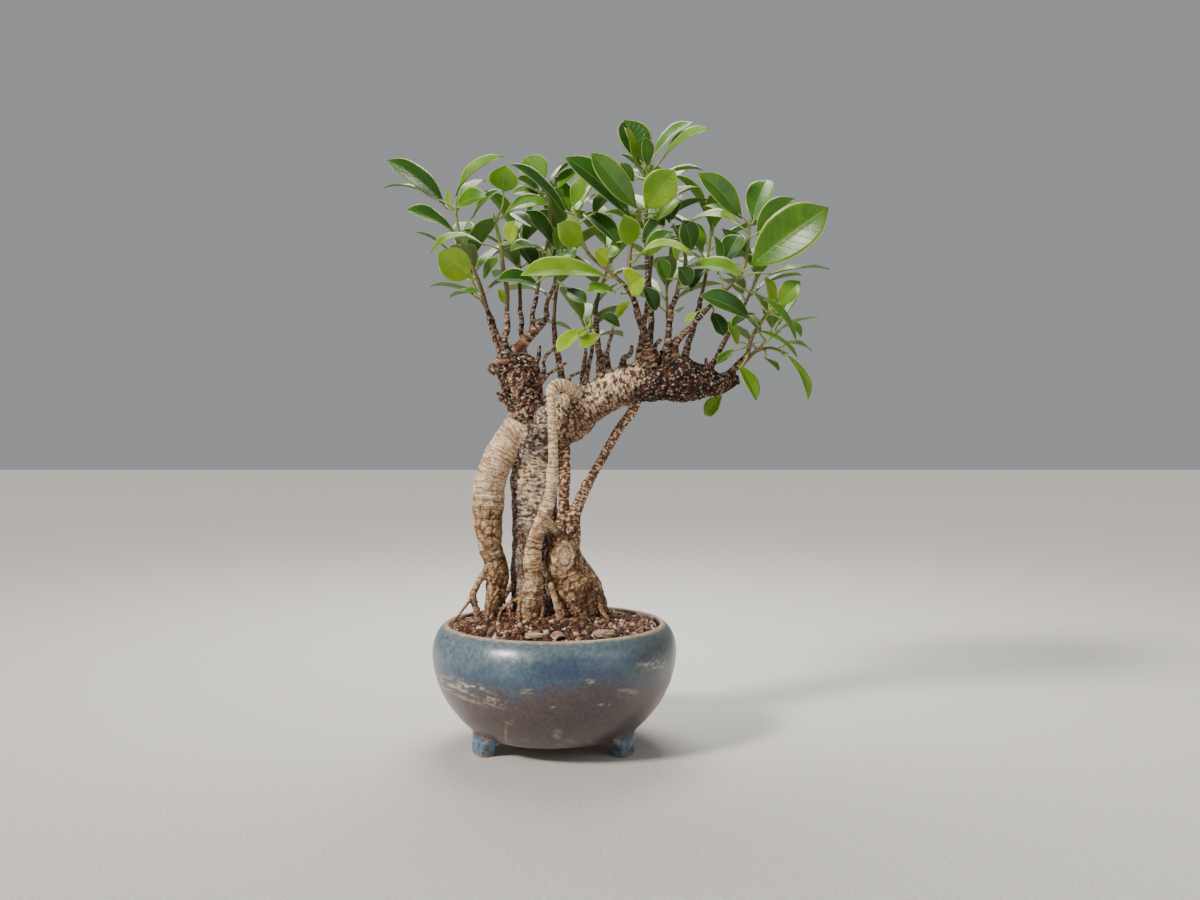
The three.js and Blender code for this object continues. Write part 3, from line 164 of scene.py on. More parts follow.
# The shoots seen from the front. A leaf's row says where its stalk starts, as a share of the stem,
# then where its blade's foot and tip are, how wide it is, how many degrees it is tipped back from
# facing the front, and how high it arches as a share of its length.
SHOOTS = {
  "shoot_left_tip": {
    "stem": [[-44.7, -5, 288.9, 1.3], [-48.5, -6, 302, 1.3], [-55, -8, 318.5, 1.2],
      [-62, -8, 335.5, 1.1], [-65, -8, 352.5, 1]],
    "leaves": [
      [1, [-72, -9, 356], [-107.5, -20, 383.8], 19, 42, 0.06],
      [0.98, [-71, -4, 354], [-114, 4, 371], 17, 80, 0.12],
      [0.78, [-66, -12, 338], [-95, -26, 350], 17, 52, 0.05],
      [1, [-69, -9, 353.5], [-70, -9, 367], 3.4, 0, 0.02],
      [1, [-65, -10, 361], [-32.5, -22, 385.3], 17, 58, 0.12],
      [0.98, [-62.5, -3, 361], [-47.5, 14, 377.4], 14, 50, 0.05],
      [0.96, [-63, -15, 355], [-42, -34, 357], 16, 25, 0.08],
      [0.72, [-53, -12, 347], [-34, -20, 364.2], 15, 62, 0.08],
      [0.3, [-55, -12, 308.5], [-74, -27, 322.5], 23, 10, 0.03],
      [0.12, [-50, -1, 299], [-71, 11, 297.5], 14, 74, 0.06]]},
  "shoot_left_inner": {
    "stem": [[-31, -10, 286, 1.5], [-31, -10, 300, 1.5], [-33, -12, 312, 1.4],
      [-35, -14, 329, 1.3], [-38, -16, 343.5, 1.1]],
    "leaves": [
      [0.7, [-44, -21, 327], [-78.2, -35, 321.4], 16, 66, 0.2],
      [0.6, [-36, -6, 321.5], [-49, 17, 312], 12, 40, 0.05],
      [1, [-32, -26, 362], [-29.5, -43, 375], 20, 0, 0.04],
      [0.98, [-33, -19, 345], [-2.5, -36, 351.7], 16, 50, 0.18],
      [0.75, [-28, -26, 328.3], [-24, -40, 340.5], 11, 20, 0.05],
      [0.05, [-33, -13, 291], [-36, -18, 300], 6, 30, 0.05]]},
  "shoot_crown_left": {
    "stem": [[-12, -2, 298, 1.3], [-9, -2, 315, 1.3], [-4, -4, 335, 1.2], [-3, -6, 355, 1.1],
      [-5, -6, 366, 1]],
    "leaves": [
      [1, [-7, -8, 371], [-20, -4, 388], 20, 12, 0.05],
      [1, [-3, -4, 371], [14, 8, 388], 14, 75, 0.08],
      [0.95, [-9, -11, 363], [-24, -24, 370], 13, 48, 0.08],
      [0.85, [-4.5, -13, 357], [-27, -23, 361], 14, 56, 0.16],
      [0.95, [2.5, -6, 367], [17, 5, 382], 14, 45, 0.08],
      [0.55, [1, -8, 328], [-19, -18, 351], 17, 50, 0.06],
      [0.3, [-14, 4, 314], [-26, 12, 334], 18, 45, 0.06],
      [0.35, [-2, 2, 320], [4, 8, 343], 15, 45, 0.06],
      [0.65, [-14, 0, 342], [-30, 8, 354], 13, 45, 0.06],
      [0.4, [3, -9, 326], [1, -15, 341], 8, 20, 0.05]]},
  "shoot_low_left": {
    "stem": [[0.2, -5.2, 305, 1.2], [1, -9, 314, 1.1], [-2, -14, 322, 1]],
    "leaves": [
      [0.3, [-10, -13, 302.5], [-35.4, -30, 304.6], 16, 45, 0.08],
      [1, [-7, -20, 325], [-27, -36, 322], 15, 58, 0.1],
      [0.9, [4, -21, 322], [14, -37, 318], 14, 40, 0.08],
      [0.1, [7, -8, 300], [21, -16, 291], 12, 30, 0.06]]},
  "shoot_crown_mid": {
    "stem": [[45.6, -21.4, 302.5, 1.3], [37, -22, 310, 1.3], [22, -18, 323.5, 1.2],
      [17, -16, 338, 1.1], [14, -14, 349, 1]],
    "leaves": [
      [0.98, [9, -17, 346], [-28, -30, 379.7], 17, 62, 0.06],
      [1, [12, -16, 354], [21, -22, 372.5], 13, 35, 0.04],
      [0.97, [18, -11, 354], [33, 4, 379], 13, 74, 0.06],
      [0.5, [17.5, -26, 328], [4, -41, 338.6], 18, 8, 0.04],
      [0.12, [33.8, -33, 306], [-19, -52, 306], 20, 45, 0.06],
      [0.2, [35, -31, 315], [26, -44, 321], 12, 20, 0.05],
      [0.02, [40, -32, 296], [22, -47, 295.5], 14, 54, 0.08],
      [0.9, [10, -4, 352], [0, 4, 377], 15, 30, 0.06],
      [0.85, [26, -16, 348], [40, -7, 368], 13, 40, 0.06],
      [0.35, [31, -14, 320], [43, -20, 325], 10, 40, 0.06]]},
  "shoot_crown_centre": {
    "stem": [[49.6, -19, 304, 1.4], [49, -18, 314, 1.4], [50, -16, 328, 1.3],
      [53.5, -14, 342, 1.2], [56, -13, 350, 1]],
    "leaves": [
      [0.95, [49, -20, 346.7], [7, -34, 382.7], 20, 25, 0.06],
      [0.98, [53.5, -25, 351], [24.3, -41, 383.3], 19, 24, 0.05],
      [0.6, [43, -12, 328], [19, -4, 352], 18, 40, 0.05],
      [0.55, [49.3, -28, 327], [45, -43, 343.7], 16, 12, 0.05],
      [0.3, [51, -33, 314], [87.2, -48, 318.3], 17, 66, 0.22],
      [0.15, [48, -37, 299], [57, -62, 303], 20, 0, 0.06],
      [1, [60, -26, 351], [77, -44, 371.6], 23, 5, 0.05],
      [0.9, [64, -6, 348], [97, 4, 371], 18, 67, 0.08],
      [0.4, [60, -14, 322], [76, -24, 336], 15, 30, 0.06],
      [0.6, [58, -11, 331], [72, -13, 348], 13, 8, 0.06],
      [0.85, [66, -14, 344], [82, -22, 357], 13, 45, 0.06],
      [0.12, [58, -14, 302], [67, -7, 287], 13, 30, 0.06]]},
  "shoot_apex": {
    "stem": [[61, -2, 321, 1.4], [60.5, -3, 345, 1.3], [61, -4, 365, 1.1], [62, -4, 378, 1]],
    "leaves": [
      [0.95, [57, -6, 383], [46, -2, 413.5], 24, 20, 0.05],
      [0.9, [53, -12, 380], [46.7, -17, 405], 13, 60, 0.04],
      [1, [61, -12, 381], [59, -20, 398], 13, 45, 0.04],
      [1, [66, -4, 389], [91.4, -8, 411], 17, 58, 0.1],
      [0.98, [71, -12, 386], [100.8, -24, 402.3], 16, 58, 0.08],
      [0.88, [56, 3, 376], [43, 16, 384], 14, 58, 0.06],
      [0.85, [52, -11, 371], [43, -21, 381], 9, 30, 0.08],
      [0.9, [70, -2, 376], [98, -2, 381], 13, 74, 0.08]]},
  "shoot_right_crown": {
    "stem": [[97, -12.2, 284, 1.5], [110, -14, 298, 1.4], [121, -16, 309, 1.3],
      [125.5, -15, 321, 1.2], [127.5, -12, 341, 1]],
    "leaves": [
      [1, [122, -16, 346], [93.5, -30, 373], 19, 25, 0.06],
      [1, [131, -4, 347], [142.7, 12, 377.4], 19, 25, 0.05],
      [0.9, [132, -19, 335], [153.2, -36, 355.5], 20, 20, 0.06],
      [0.55, [128, -24, 314.5], [173.6, -42, 348.4], 33, 10, 0.07],
      [0.45, [139, -12, 309], [181, -5, 315], 17, 78, 0.06],
      [0.6, [112, -4, 318], [124, 10, 340], 17, 25, 0.05],
      [0.95, [118, -5, 345], [98, 8, 358], 15, 58, 0.08],
      [0.25, [106, -20, 309], [103, -26, 334], 13, 62, 0.06],
      [0.4, [127, -27, 297], [154, -38, 266], 14, 62, 0.1],
      [0.1, [104, -4, 286], [111, -10, 270], 13, 30, 0.05],
      [0.08, [93, -18, 285], [85, -25, 277], 5, 40, 0.05]]},
  "shoot_right_inner": {
    "stem": [[80.1, -12, 296.6, 1.4], [82, -12, 305, 1.4], [86, -12, 318, 1.3],
      [84, -11, 330, 1.2], [80, -11, 338, 1]],
    "leaves": [
      [0.6, [90, -16, 326], [84, -28, 343], 16, 20, 0.05],
      [1, [83, -21, 338], [118.8, -36, 341], 16, 68, 0.18],
      [0.35, [82, -26, 311], [119, -49, 305], 18, 55, 0.12],
      [0.12, [88, -22, 302], [80, -34, 312], 13, 8, 0.05],
      [1, [76, -3, 345], [82, 10, 367], 14, 30, 0.05],
      [0.3, [73, -16, 305], [68, -20, 320], 11, 20, 0.05],
      [0.65, [96, -2, 326], [92, 8, 348], 15, 35, 0.06],
      [0.5, [80, -16, 318], [77, -22, 333], 6, 30, 0.05],
      [0.1, [90, -4, 300], [100, 4, 316], 14, 50, 0.06]]},
  "shoot_right_low": {
    "stem": [[127.5, -6.2, 258.8, 1.4], [129.5, -8, 268, 1.3], [135, -10, 278, 1.2], [141, -12, 286, 1]],
    "leaves": [
      [1, [146.3, -18, 289.4], [158.5, -26, 304], 14, 20, 0.05],
      [1, [142, -7, 291], [141, 3, 310], 13, 45, 0.05],
      [0.95, [137, -6, 289], [130, 6, 302], 10, 68, 0.06],
      [0.4, [130, -17, 273], [157, -26, 255], 13, 68, 0.1],
      [0.6, [127, -22, 280.5], [93, -42, 293.4], 19, 40, 0.08],
      [0.05, [120, -14, 251], [131, -22, 227.7], 13, 40, 0.06],
      [0.95, [149, -10, 281], [161.5, -14, 269], 12, 60, 0.1],
      [0.98, [146, -3, 286], [157, 8, 284], 9, 50, 0.05],
      [0.7, [131, -15, 284], [114, -26, 274], 9, 55, 0.08],
      [0.2, [120, -12, 264], [113, -18, 279], 9, 40, 0.05],
      [0.15, [119, -10, 261], [106, -16, 251], 8, 45, 0.08]]},
  "shoot_right_hanging": {
    "stem": [[126.4, 9, 254.5, 1.3], [135, 4, 261, 1.2], [143, -3, 262.5, 1], [149, -8, 260, 0.9]],
    "leaves": [
      [1, [152, -14, 257], [165.5, -19, 227.7], 13, 55, 0.06],
      [0.5, [138, -4, 256], [147, -12, 247], 9, 60, 0.06],
      [0.85, [152, 2, 266], [172, 6, 261.5], 12, 72, 0.08]]},
  "shoot_low_mid": {
    "stem": [[24.4, -6, 272.6, 0.9], [24, -7, 277, 0.9]],
    "leaves": [
      [1, [19, -10, 274], [2, -17, 259], 13, 35, 0.05],
      [0.5, [30, -12, 271], [17, -19, 261], 11, 35, 0.05],
      [0.8, [22, -12, 274], [15, -18, 269], 6, 30, 0.05]]},
  "shoot_low_centre": {
    "stem": [[38, -6, 272.6, 0.9], [38.5, -7, 277, 0.9]],
    "leaves": [
      [1, [40, -9, 281], [49, -16, 292], 8, 40, 0.05],
      [0.7, [43, -10, 276], [31, -16, 283], 10, 40, 0.06]]},
  "leaf_under_limb": {
    "stem": [[109, 8, 234.5, 1], [111, 9, 232.5, 0.9]],
    "leaves": [[0.6, [112, 10, 231], [101, 18, 218], 12, 35, 0.05]]},
}

# The shoots on the far side: stem, number of leaves, azimuth of the lowest and length of the longest.
BACK_SHOOTS = {
  "shoot_back_left_low": [
    [[-44.2, 28.5, 284.8, 1.3], [-52, 35, 298, 1.2], [-60, 40, 312, 1.1], [-66, 43, 323, 0.9]],
    8, 210, 42],
  "shoot_back_left": [
    [[-25.1, 32.4, 294.8, 1.3], [-26, 40, 312, 1.2], [-27, 46, 330, 1.1], [-28, 50, 346, 0.9]],
    8, 120, 40],
  "shoot_back_mid_left": [
    [[-2, 34.4, 282.8, 1.3], [-1, 40, 300, 1.2], [2, 44, 320, 1.1], [4, 46, 342, 0.9]],
    8, 150, 41],
  "shoot_back_mid": [
    [[27, 36.4, 290.8, 1.3], [30, 43, 306, 1.2], [36, 53, 324, 1.1], [40, 62, 342, 0.9]],
    8, 252, 40],
  "shoot_back_mid_low": [
    [[20, 35.4, 260.8, 1.2], [20, 44, 268, 1.1], [20, 54, 275, 1], [20, 62, 282, 0.9]],
    6, 45, 36],
  "shoot_back_crown": [
    [[64, 32.4, 310.8, 1.3], [66, 36, 330, 1.2], [68, 38, 350, 1.1], [70, 38, 368, 0.9]],
    8, 295, 38],
  "shoot_back_low": [
    [[78.1, 48.6, 276.6, 1.2], [78, 58, 288, 1.1], [78, 66, 302, 1], [78, 72, 316, 0.9]],
    8, 75, 38],
  "shoot_back_right": [
    [[100.2, 32.4, 300.8, 1.3], [104, 38, 318, 1.2], [106, 42, 334, 1.1], [108, 44, 350, 0.9]],
    8, 315, 42],
  "shoot_back_right_low": [
    [[122.2, 30.4, 282.8, 1.2], [130, 36, 294, 1.1], [136, 40, 306, 1], [142, 42, 318, 0.9]],
    8, 105, 40],
  "shoot_back_far_right": [
    [[127.4, 22.4, 252.6, 1.2], [136, 28, 261, 1.1], [144, 34, 268, 1], [152, 38, 274, 0.9]],
    6, 80, 36],
}

# How light (0 dark green to 1 lime) and how warm (0 bluish to 1 yellow) each leaf of a shoot is. The
# lightness is partly the leaf's own colour, lime when young and darker when old, and partly painted shade
# on leaves that lie in shadow.
TONES = {
    "shoot_left_tip": [
        (0.3, 0.4), (0.35, 0.4), (0.4, 0.1), (0.9, 0.8), (0.65, 0.5), (0.4, 0.1), (0.5, 0.4),
        (0.5, 0.3), (0.9, 0.6), (0.5, 0.5)],
    "shoot_left_inner": [(0.6, 0.5), (0.45, 0.5), (0.6, 0.5), (0.5, 0.7), (0.95, 0.7), (0.9, 0.6)],
    "shoot_crown_left": [
        (0.65, 0.4), (0.6, 0.5), (0.55, 0.5), (0.5, 0.5), (0.55, 0.2), (0.2, 0.3), (0.08, 0.2),
        (0.12, 0.2), (0.45, 0.4), (0.55, 0.5)],
    "shoot_low_left": [(0.35, 0.0), (0.45, 0.3), (0.3, 0.4), (0.15, 0.3)],
    "shoot_crown_mid": [
        (0.2, 0.1), (0.6, 0.5), (0.75, 0.6), (0.8, 0.6), (0.75, 0.5), (0.95, 0.6), (0.6, 0.5),
        (0.5, 0.5), (0.3, 0.4), (0.55, 0.0)],
    "shoot_crown_centre": [
        (0.3, 0.2), (0.5, 0.4), (0.2, 0.3), (0.75, 0.6), (0.8, 0.6), (0.9, 0.7), (0.65, 0.7),
        (0.4, 0.0), (0.35, 0.5), (0.35, 0.4), (0.5, 0.5), (0.1, 0.3)],
    "shoot_apex": [
        (0.25, 0.2), (0.8, 0.7), (0.45, 0.4), (0.5, 0.3), (0.65, 0.5), (0.2, 0.3), (0.4, 0.5),
        (0.6, 0.5)],
    "shoot_right_crown": [
        (0.45, 0.7), (0.45, 0.0), (0.35, 0.7), (0.45, 0.7), (0.5, 0.4), (0.25, 0.4), (0.4, 0.1),
        (0.45, 0.3), (0.5, 0.6), (0.1, 0.3), (0.9, 0.7)],
    "shoot_right_inner": [
        (0.25, 0.4), (0.75, 0.5), (0.6, 0.5), (0.3, 0.6), (0.25, 0.4), (0.5, 0.0), (0.6, 0.1),
        (0.9, 0.6), (0.1, 0.3)],
    "shoot_right_low": [
        (0.6, 0.6), (0.85, 0.9), (0.7, 0.5), (0.5, 0.5), (0.3, 0.1), (0.6, 0.9), (0.5, 0.5),
        (0.45, 0.1), (0.4, 0.9), (0.7, 0.8), (0.4, 0.5)],
    "shoot_right_hanging": [(0.6, 0.8), (0.55, 0.6), (0.6, 0.5)],
    "shoot_low_mid": [(0.9, 0.7), (0.85, 0.7), (0.8, 0.6)],
    "shoot_low_centre": [(0.85, 0.9), (0.3, 1.0)],
    "leaf_under_limb": [(0.7, 0.8)],
}

# Bare roots finer than the CAD wood holds, lying against the base of the trunk.
FINE_ROOTS = [
    [[-27, -20, 100, 0.9], [-28, -23, 92, 0.8], [-26.5, -24, 84, 0.8], [-27, -25, 79, 0.7]],
    [[-22, -24, 98, 1.2], [-21.5, -28, 90, 1.1], [-22, -30, 82, 1], [-23, -31, 77, 0.9]],
    [[-55, -8, 97, 1], [-60, -12, 90, 0.8], [-65, -15, 84, 0.6], [-68, -17, 79, 0.5]],
    [[-36, -10, 104, 1.4], [-41, -12, 97, 1.3], [-43, -13, 89, 1.3], [-44, -14, 80, 1.2]],
    [[29, -14, 96, 1.6], [33, -17, 88, 1.5], [37, -19, 82, 1.3], [42, -21, 76, 1.1]],
    [[-8, -21, 100, 1.2], [-7, -25, 92, 1.2], [-9, -27, 85, 1.1], [-8, -29, 77, 1]],
    [[26, 12, 98, 2], [33, 14, 89, 1.8], [38, 16, 80, 1.6]],
    [[-30, 26, 102, 1.8], [-36, 31, 92, 1.6], [-40, 34, 80, 1.4]],
]


# ---- curves and meshes ----

def centripetal(stations, per_span):
    """Points of [x, y, z, radius] on a smooth curve through the stations."""
    stations = np.asarray(stations, float)
    held = np.vstack([2 * stations[0] - stations[1], stations, 2 * stations[-1] - stations[-2]])
    points = []
    for first in range(len(stations) - 1):
        p0, p1, p2, p3 = held[first:first + 4]
        pairs = (p0, p1), (p1, p2), (p2, p3)
        a, b, c = (max(np.linalg.norm(q[:3] - p[:3]) ** 0.5, 1e-3) for p, q in pairs)
        leave = ((p1 - p0) / a - (p2 - p0) / (a + b) + (p2 - p1) / b) * b
        arrive = ((p2 - p1) / b - (p3 - p1) / (b + c) + (p3 - p2) / c) * b
        for s in np.arange(per_span) / per_span:
            points.append(
                (2 * s**3 - 3 * s**2 + 1) * p1 + (s**3 - 2 * s**2 + s) * leave
                + (3 * s**2 - 2 * s**3) * p2 + (s**3 - s**2) * arrive)
    points.append(stations[-1])
    return np.array(points)


def frames(points):
    """Directions along, to the side of and across a curve, turning as little as they can."""
    along = np.gradient(points[:, :3], axis=0)
    along /= np.linalg.norm(along, axis=1)[:, None]
    side = np.array([0.31, 0.95, 0.05])
    sides = []
    for direction in along:
        side = side - direction * side.dot(direction)
        side /= np.linalg.norm(side)
        sides.append(side)
    sides = np.array(sides)
    return along, sides, np.cross(along, sides)


def travel(points):
    """The distance travelled along a curve at each of its points."""
    steps = np.linalg.norm(np.diff(points[:, :3], axis=0), axis=1)
    return np.concatenate([[0], np.cumsum(steps)])


def tube(points, corners, first=0):
    """Corners and faces of a closed round tube, with each corner's distance along it and angle."""
    _, side, across = frames(points)
    travelled = travel(points)
    angle = np.arange(corners) * 2 * math.pi / corners
    aside, over = np.cos(angle)[None, :, None], np.sin(angle)[None, :, None]
    ring = aside * side[:, None, :] + over * across[:, None, :]
    verts = points[:, None, :3] + ring * points[:, None, 3:4]
    count = len(points)
    row = np.arange(count - 1)[:, None] * corners
    here = np.arange(corners)[None, :]
    after = (here + 1) % corners
    quads = np.stack([row + here, row + after, row + corners + after, row + corners + here], -1)
    faces = (quads.reshape(-1, 4) + first).tolist()
    faces.append((np.arange(corners)[::-1] + first).tolist())
    faces.append((np.arange(corners) + first + (count - 1) * corners).tolist())
    where = np.stack(
        [np.repeat(travelled, corners), np.tile(angle, count), np.repeat(points[:, 3], corners)], -1)
    return verts.reshape(-1, 3), faces, where


def finish_mesh(name, verts, faces):
    """A new object from corners in millimetres from the pot's axis."""
    verts = np.asarray(verts, float) * MM + np.array([POT_X, POT_Y, 0])
    mesh = bpy.data.meshes.new(name)
    mesh.from_pydata(verts.tolist(), [], faces if isinstance(faces, list) else faces.tolist())
    mesh.polygons.foreach_set("use_smooth", [True] * len(mesh.polygons))
    mesh.update()
    piece = bpy.data.objects.new(name, mesh)
    bpy.context.scene.collection.objects.link(piece)
    return piece


def store(piece, name, values):
    """Keeps one number or one colour per corner, for the materials to read."""
    values = np.asarray(values, float)
    if values.ndim == 1:
        layer = piece.data.attributes.new(name, "FLOAT", "POINT")
        layer.data.foreach_set("value", values)
    else:
        layer = piece.data.attributes.new(name, "FLOAT_COLOR", "POINT")
        four = np.ones((len(values), 4))
        four[:, :values.shape[1]] = values
        layer.data.foreach_set("color", four.ravel())


def stand_for(piece, node):
    """Puts a piece on the part's body in the place of a CAD node, and hides the node."""
    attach(piece, "root")
    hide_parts(node)


def smoothstep(low, high, value):
    """0 up to low and 1 from high on, with a soft rise; low may be above high."""
    part = np.clip((value - low) / (high - low), 0, 1)
    return part * part * (3 - 2 * part)


def turned(degrees):
    """What rows of points are multiplied by, to turn them about Z."""
    cosine, sine = math.cos(math.radians(degrees)), math.sin(math.radians(degrees))
    return np.array([[cosine, sine, 0], [-sine, cosine, 0], [0, 0, 1]])


def fractal(points, octaves=4):
    """Layered noise at each point, about -1 to 1."""
    return np.array([noise.fractal(p, 1.0, 2.0, octaves) for p in points])


# ---- materials ----

class Shader:
    """Short names for the nodes that the materials are made of."""

    def __init__(self, name):
        self.material = bpy.data.materials.new(name)
        self.material.use_nodes = True
        self.tree = self.material.node_tree
        self.principled = self.tree.nodes["Principled BSDF"]
        self.output = self.tree.nodes["Material Output"]
        coordinates = self.node("ShaderNodeTexCoord")
        self.place = coordinates.outputs["Object"]

    def node(self, kind, **settings):
        """A new node with these settings."""
        made = self.tree.nodes.new(kind)
        for key, value in settings.items():
            setattr(made, key, value)
        return made

    def feed(self, socket, item):
        """Links an output to the socket, or gives it a number or a colour."""
        if isinstance(item, bpy.types.NodeSocket):
            self.tree.links.new(item, socket)
        elif isinstance(item, tuple) and len(item) == 3 and socket.type == "RGBA":
            socket.default_value = (*item, 1)
        else:
            socket.default_value = item

    def math(self, operation, a, b=0.0):
        """A sum of this kind over one or two values."""
        made = self.node("ShaderNodeMath", operation=operation)
        self.feed(made.inputs[0], a)
        self.feed(made.inputs[1], b)
        return made.outputs[0]

    def times(self, a, b):
        return self.math("MULTIPLY", a, b)

    def plus(self, a, b):
        return self.math("ADD", a, b)

    def minus(self, a, b):
        return self.math("SUBTRACT", a, b)

    def vector(self, operation, a, b):
        made = self.node("ShaderNodeVectorMath", operation=operation)
        self.feed(made.inputs[0], a)
        self.feed(made.inputs[1], b)
        return made.outputs[0]

    def mix(self, factor, a, b, blend="MIX"):
        made = self.node("ShaderNodeMix", data_type="RGBA", blend_type=blend)
        self.feed(made.inputs["Factor"], factor)
        self.feed(made.inputs["A"], a)
        self.feed(made.inputs["B"], b)
        return made.outputs["Result"]

    def multiplied(self, color, by):
        return self.mix(1.0, color, by, "MULTIPLY")

    def tinted(self, color, value, *stops):
        """The colour, multiplied by a ramp over the value."""
        return self.multiplied(color, self.ramp(value, *stops))

    def noise(self, scale, detail, roughness, place=None, distortion=0.0):
        made = self.node("ShaderNodeTexNoise")
        self.feed(made.inputs["Vector"], place or self.place)
        made.inputs["Scale"].default_value = scale
        made.inputs["Detail"].default_value = detail
        made.inputs["Roughness"].default_value = roughness
        made.inputs["Distortion"].default_value = distortion
        return made.outputs["Fac"]

    def cells(self, scale):
        """The distance to the nearest of many scattered points."""
        made = self.node("ShaderNodeTexVoronoi")
        self.feed(made.inputs["Vector"], self.place)
        made.inputs["Scale"].default_value = scale
        return made.outputs["Distance"]

    def step(self, value, low, high):
        """0 up to low and 1 from high on, with a soft rise; low may be above high."""
        made = self.node("ShaderNodeMapRange", interpolation_type="SMOOTHSTEP")
        self.feed(made.inputs["Value"], value)
        made.inputs["From Min"].default_value = low
        made.inputs["From Max"].default_value = high
        return made.outputs["Result"]

    def ramp(self, value, *stops):
        made = self.node("ShaderNodeValToRGB")
        self.feed(made.inputs["Fac"], value)
        spots = made.color_ramp.elements
        while len(spots) < len(stops):
            spots.new(0.5)
        for spot, (position, color) in zip(spots, stops):
            spot.position = position
            spot.color = (*color, 1)
        return made.outputs["Color"]

    def stored(self, name):
        """The values that store keeps on the mesh."""
        return self.node("ShaderNodeAttribute", attribute_name=name)

    def split(self, color):
        made = self.node("ShaderNodeSeparateColor")
        self.feed(made.inputs[0], color)
        return made.outputs[0], made.outputs[1], made.outputs[2]

    def bump(self, height, strength, distance, under=None):
        """Relief by shading, on top of the relief that another bump gives."""
        made = self.node("ShaderNodeBump")
        self.feed(made.inputs["Height"], height)
        made.inputs["Strength"].default_value = strength
        made.inputs["Distance"].default_value = distance
        if under is not None:
            self.feed(made.inputs["Normal"], under)
        return made.outputs["Normal"]

    def surface(self, color, roughness, normal, **constants):
        """The finished material."""
        self.feed(self.principled.inputs["Base Color"], color)
        self.feed(self.principled.inputs["Roughness"], roughness)
        self.feed(self.principled.inputs["Normal"], normal)
        for name, value in constants.items():
            self.principled.inputs[name.replace("_", " ")].default_value = value
        return self.material


# ---- the wood ----

# The skin grows from cubes of the size VOXEL over tubes with TUBE_CORNERS corners.
TUBE_CORNERS = 28
VOXEL = 0.8
SOFTENINGS = 7

# Points are held against the members this many at a time, to spare memory.
BATCH = 20000
PLATE_SIZE = 6.4
STUB_COUNT = 64
TWIG_CORNERS = 11
TWIG_STRIPES, YOUNG_STRIPES, OLD_STRIPES = 0.6, 0.75, 0.4
KNUCKLE_SPACING = 5.2
DARKEST, LIGHTEST = 0.005, 0.9
CREAM = np.array([0.82, 0.65, 0.45])
TAN = np.array([0.46, 0.295, 0.17])
GOLD = np.array([0.50, 0.315, 0.145])
BROWN = np.array([0.13, 0.062, 0.034])
DARK = np.array([0.026, 0.013, 0.010])
GREY = np.array([0.25, 0.205, 0.195])
WHITE = np.array([0.80, 0.71, 0.58])
RED_BROWN = np.array([0.15, 0.053, 0.031])
MOSS = np.array([0.085, 0.080, 0.030])


def blend(first, second, share):
    """From the first colour to the second, by each point's share."""
    return first + (second - first) * np.asarray(share)[:, None]


def thick_wood():
    """The trunk, limbs and thick roots as one skin over their tubes."""
    verts, faces = [], []
    for name, stations in MEMBERS.items():
        points = centripetal(stations, 8)
        travelled = np.arange(len(points)) * 0.35 + len(name)
        swell = [1 + 0.07 * noise.noise((s, 3.1, len(name))) for s in travelled]
        points[:, 3] *= swell
        more, sides, _ = tube(points, TUBE_CORNERS, len(verts))
        verts.extend(more.tolist())
        faces.extend(sides)
    raw = finish_mesh("wood_raw", verts, faces)
    remesh = raw.modifiers.new("skin", "REMESH")
    remesh.mode = "VOXEL"
    remesh.voxel_size = VOXEL * MM
    soften = raw.modifiers.new("soften", "SMOOTH")
    soften.factor = 0.5
    soften.iterations = SOFTENINGS
    skin = bpy.data.meshes.new_from_object(raw.evaluated_get(bpy.context.evaluated_depsgraph_get()))
    bpy.data.objects.remove(raw)
    return skin


def nearest_member(points):
    """For each point: its member, how far along it and at what angle it lies, and the radius there."""
    centres, names, travelled, alongs, sides, across = [], [], [], [], [], []
    for number, stations in enumerate(MEMBERS.values()):
        line = centripetal(stations, 6)
        along, side, over = frames(line)
        centres.append(line)
        names.append(np.full(len(line), number))
        travelled.append(travel(line))
        alongs.append(along)
        sides.append(side)
        across.append(over)
    centres = np.vstack(centres)
    names = np.concatenate(names)
    travelled = np.concatenate(travelled)
    alongs = np.vstack(alongs)
    sides = np.vstack(sides)
    across = np.vstack(across)
    chosen = np.empty(len(points), int)
    for start in range(0, len(points), BATCH):
        part = points[start:start + BATCH]
        gap = part[:, None, :] - centres[None, :, :3]
        distance = np.sqrt((gap**2).sum(-1)) - centres[None, :, 3]
        chosen[start:start + BATCH] = distance.argmin(1)
    offset = points - centres[chosen, :3]
    angle = np.arctan2((offset * across[chosen]).sum(1), (offset * sides[chosen]).sum(1))
    further = (offset * alongs[chosen]).sum(1)
    return names[chosen], travelled[chosen] + further, angle, centres[chosen, 3]


def plates_of(points, size):
    """0 in a crack between bark plates of about this size, and 1 well inside a plate."""
    gaps = np.empty(len(points))
    for number, point in enumerate(points / size):
        near, _ = noise.voronoi(point)
        gaps[number] = near[1] - near[0]
    return smoothstep(0.02, 0.2, gaps)


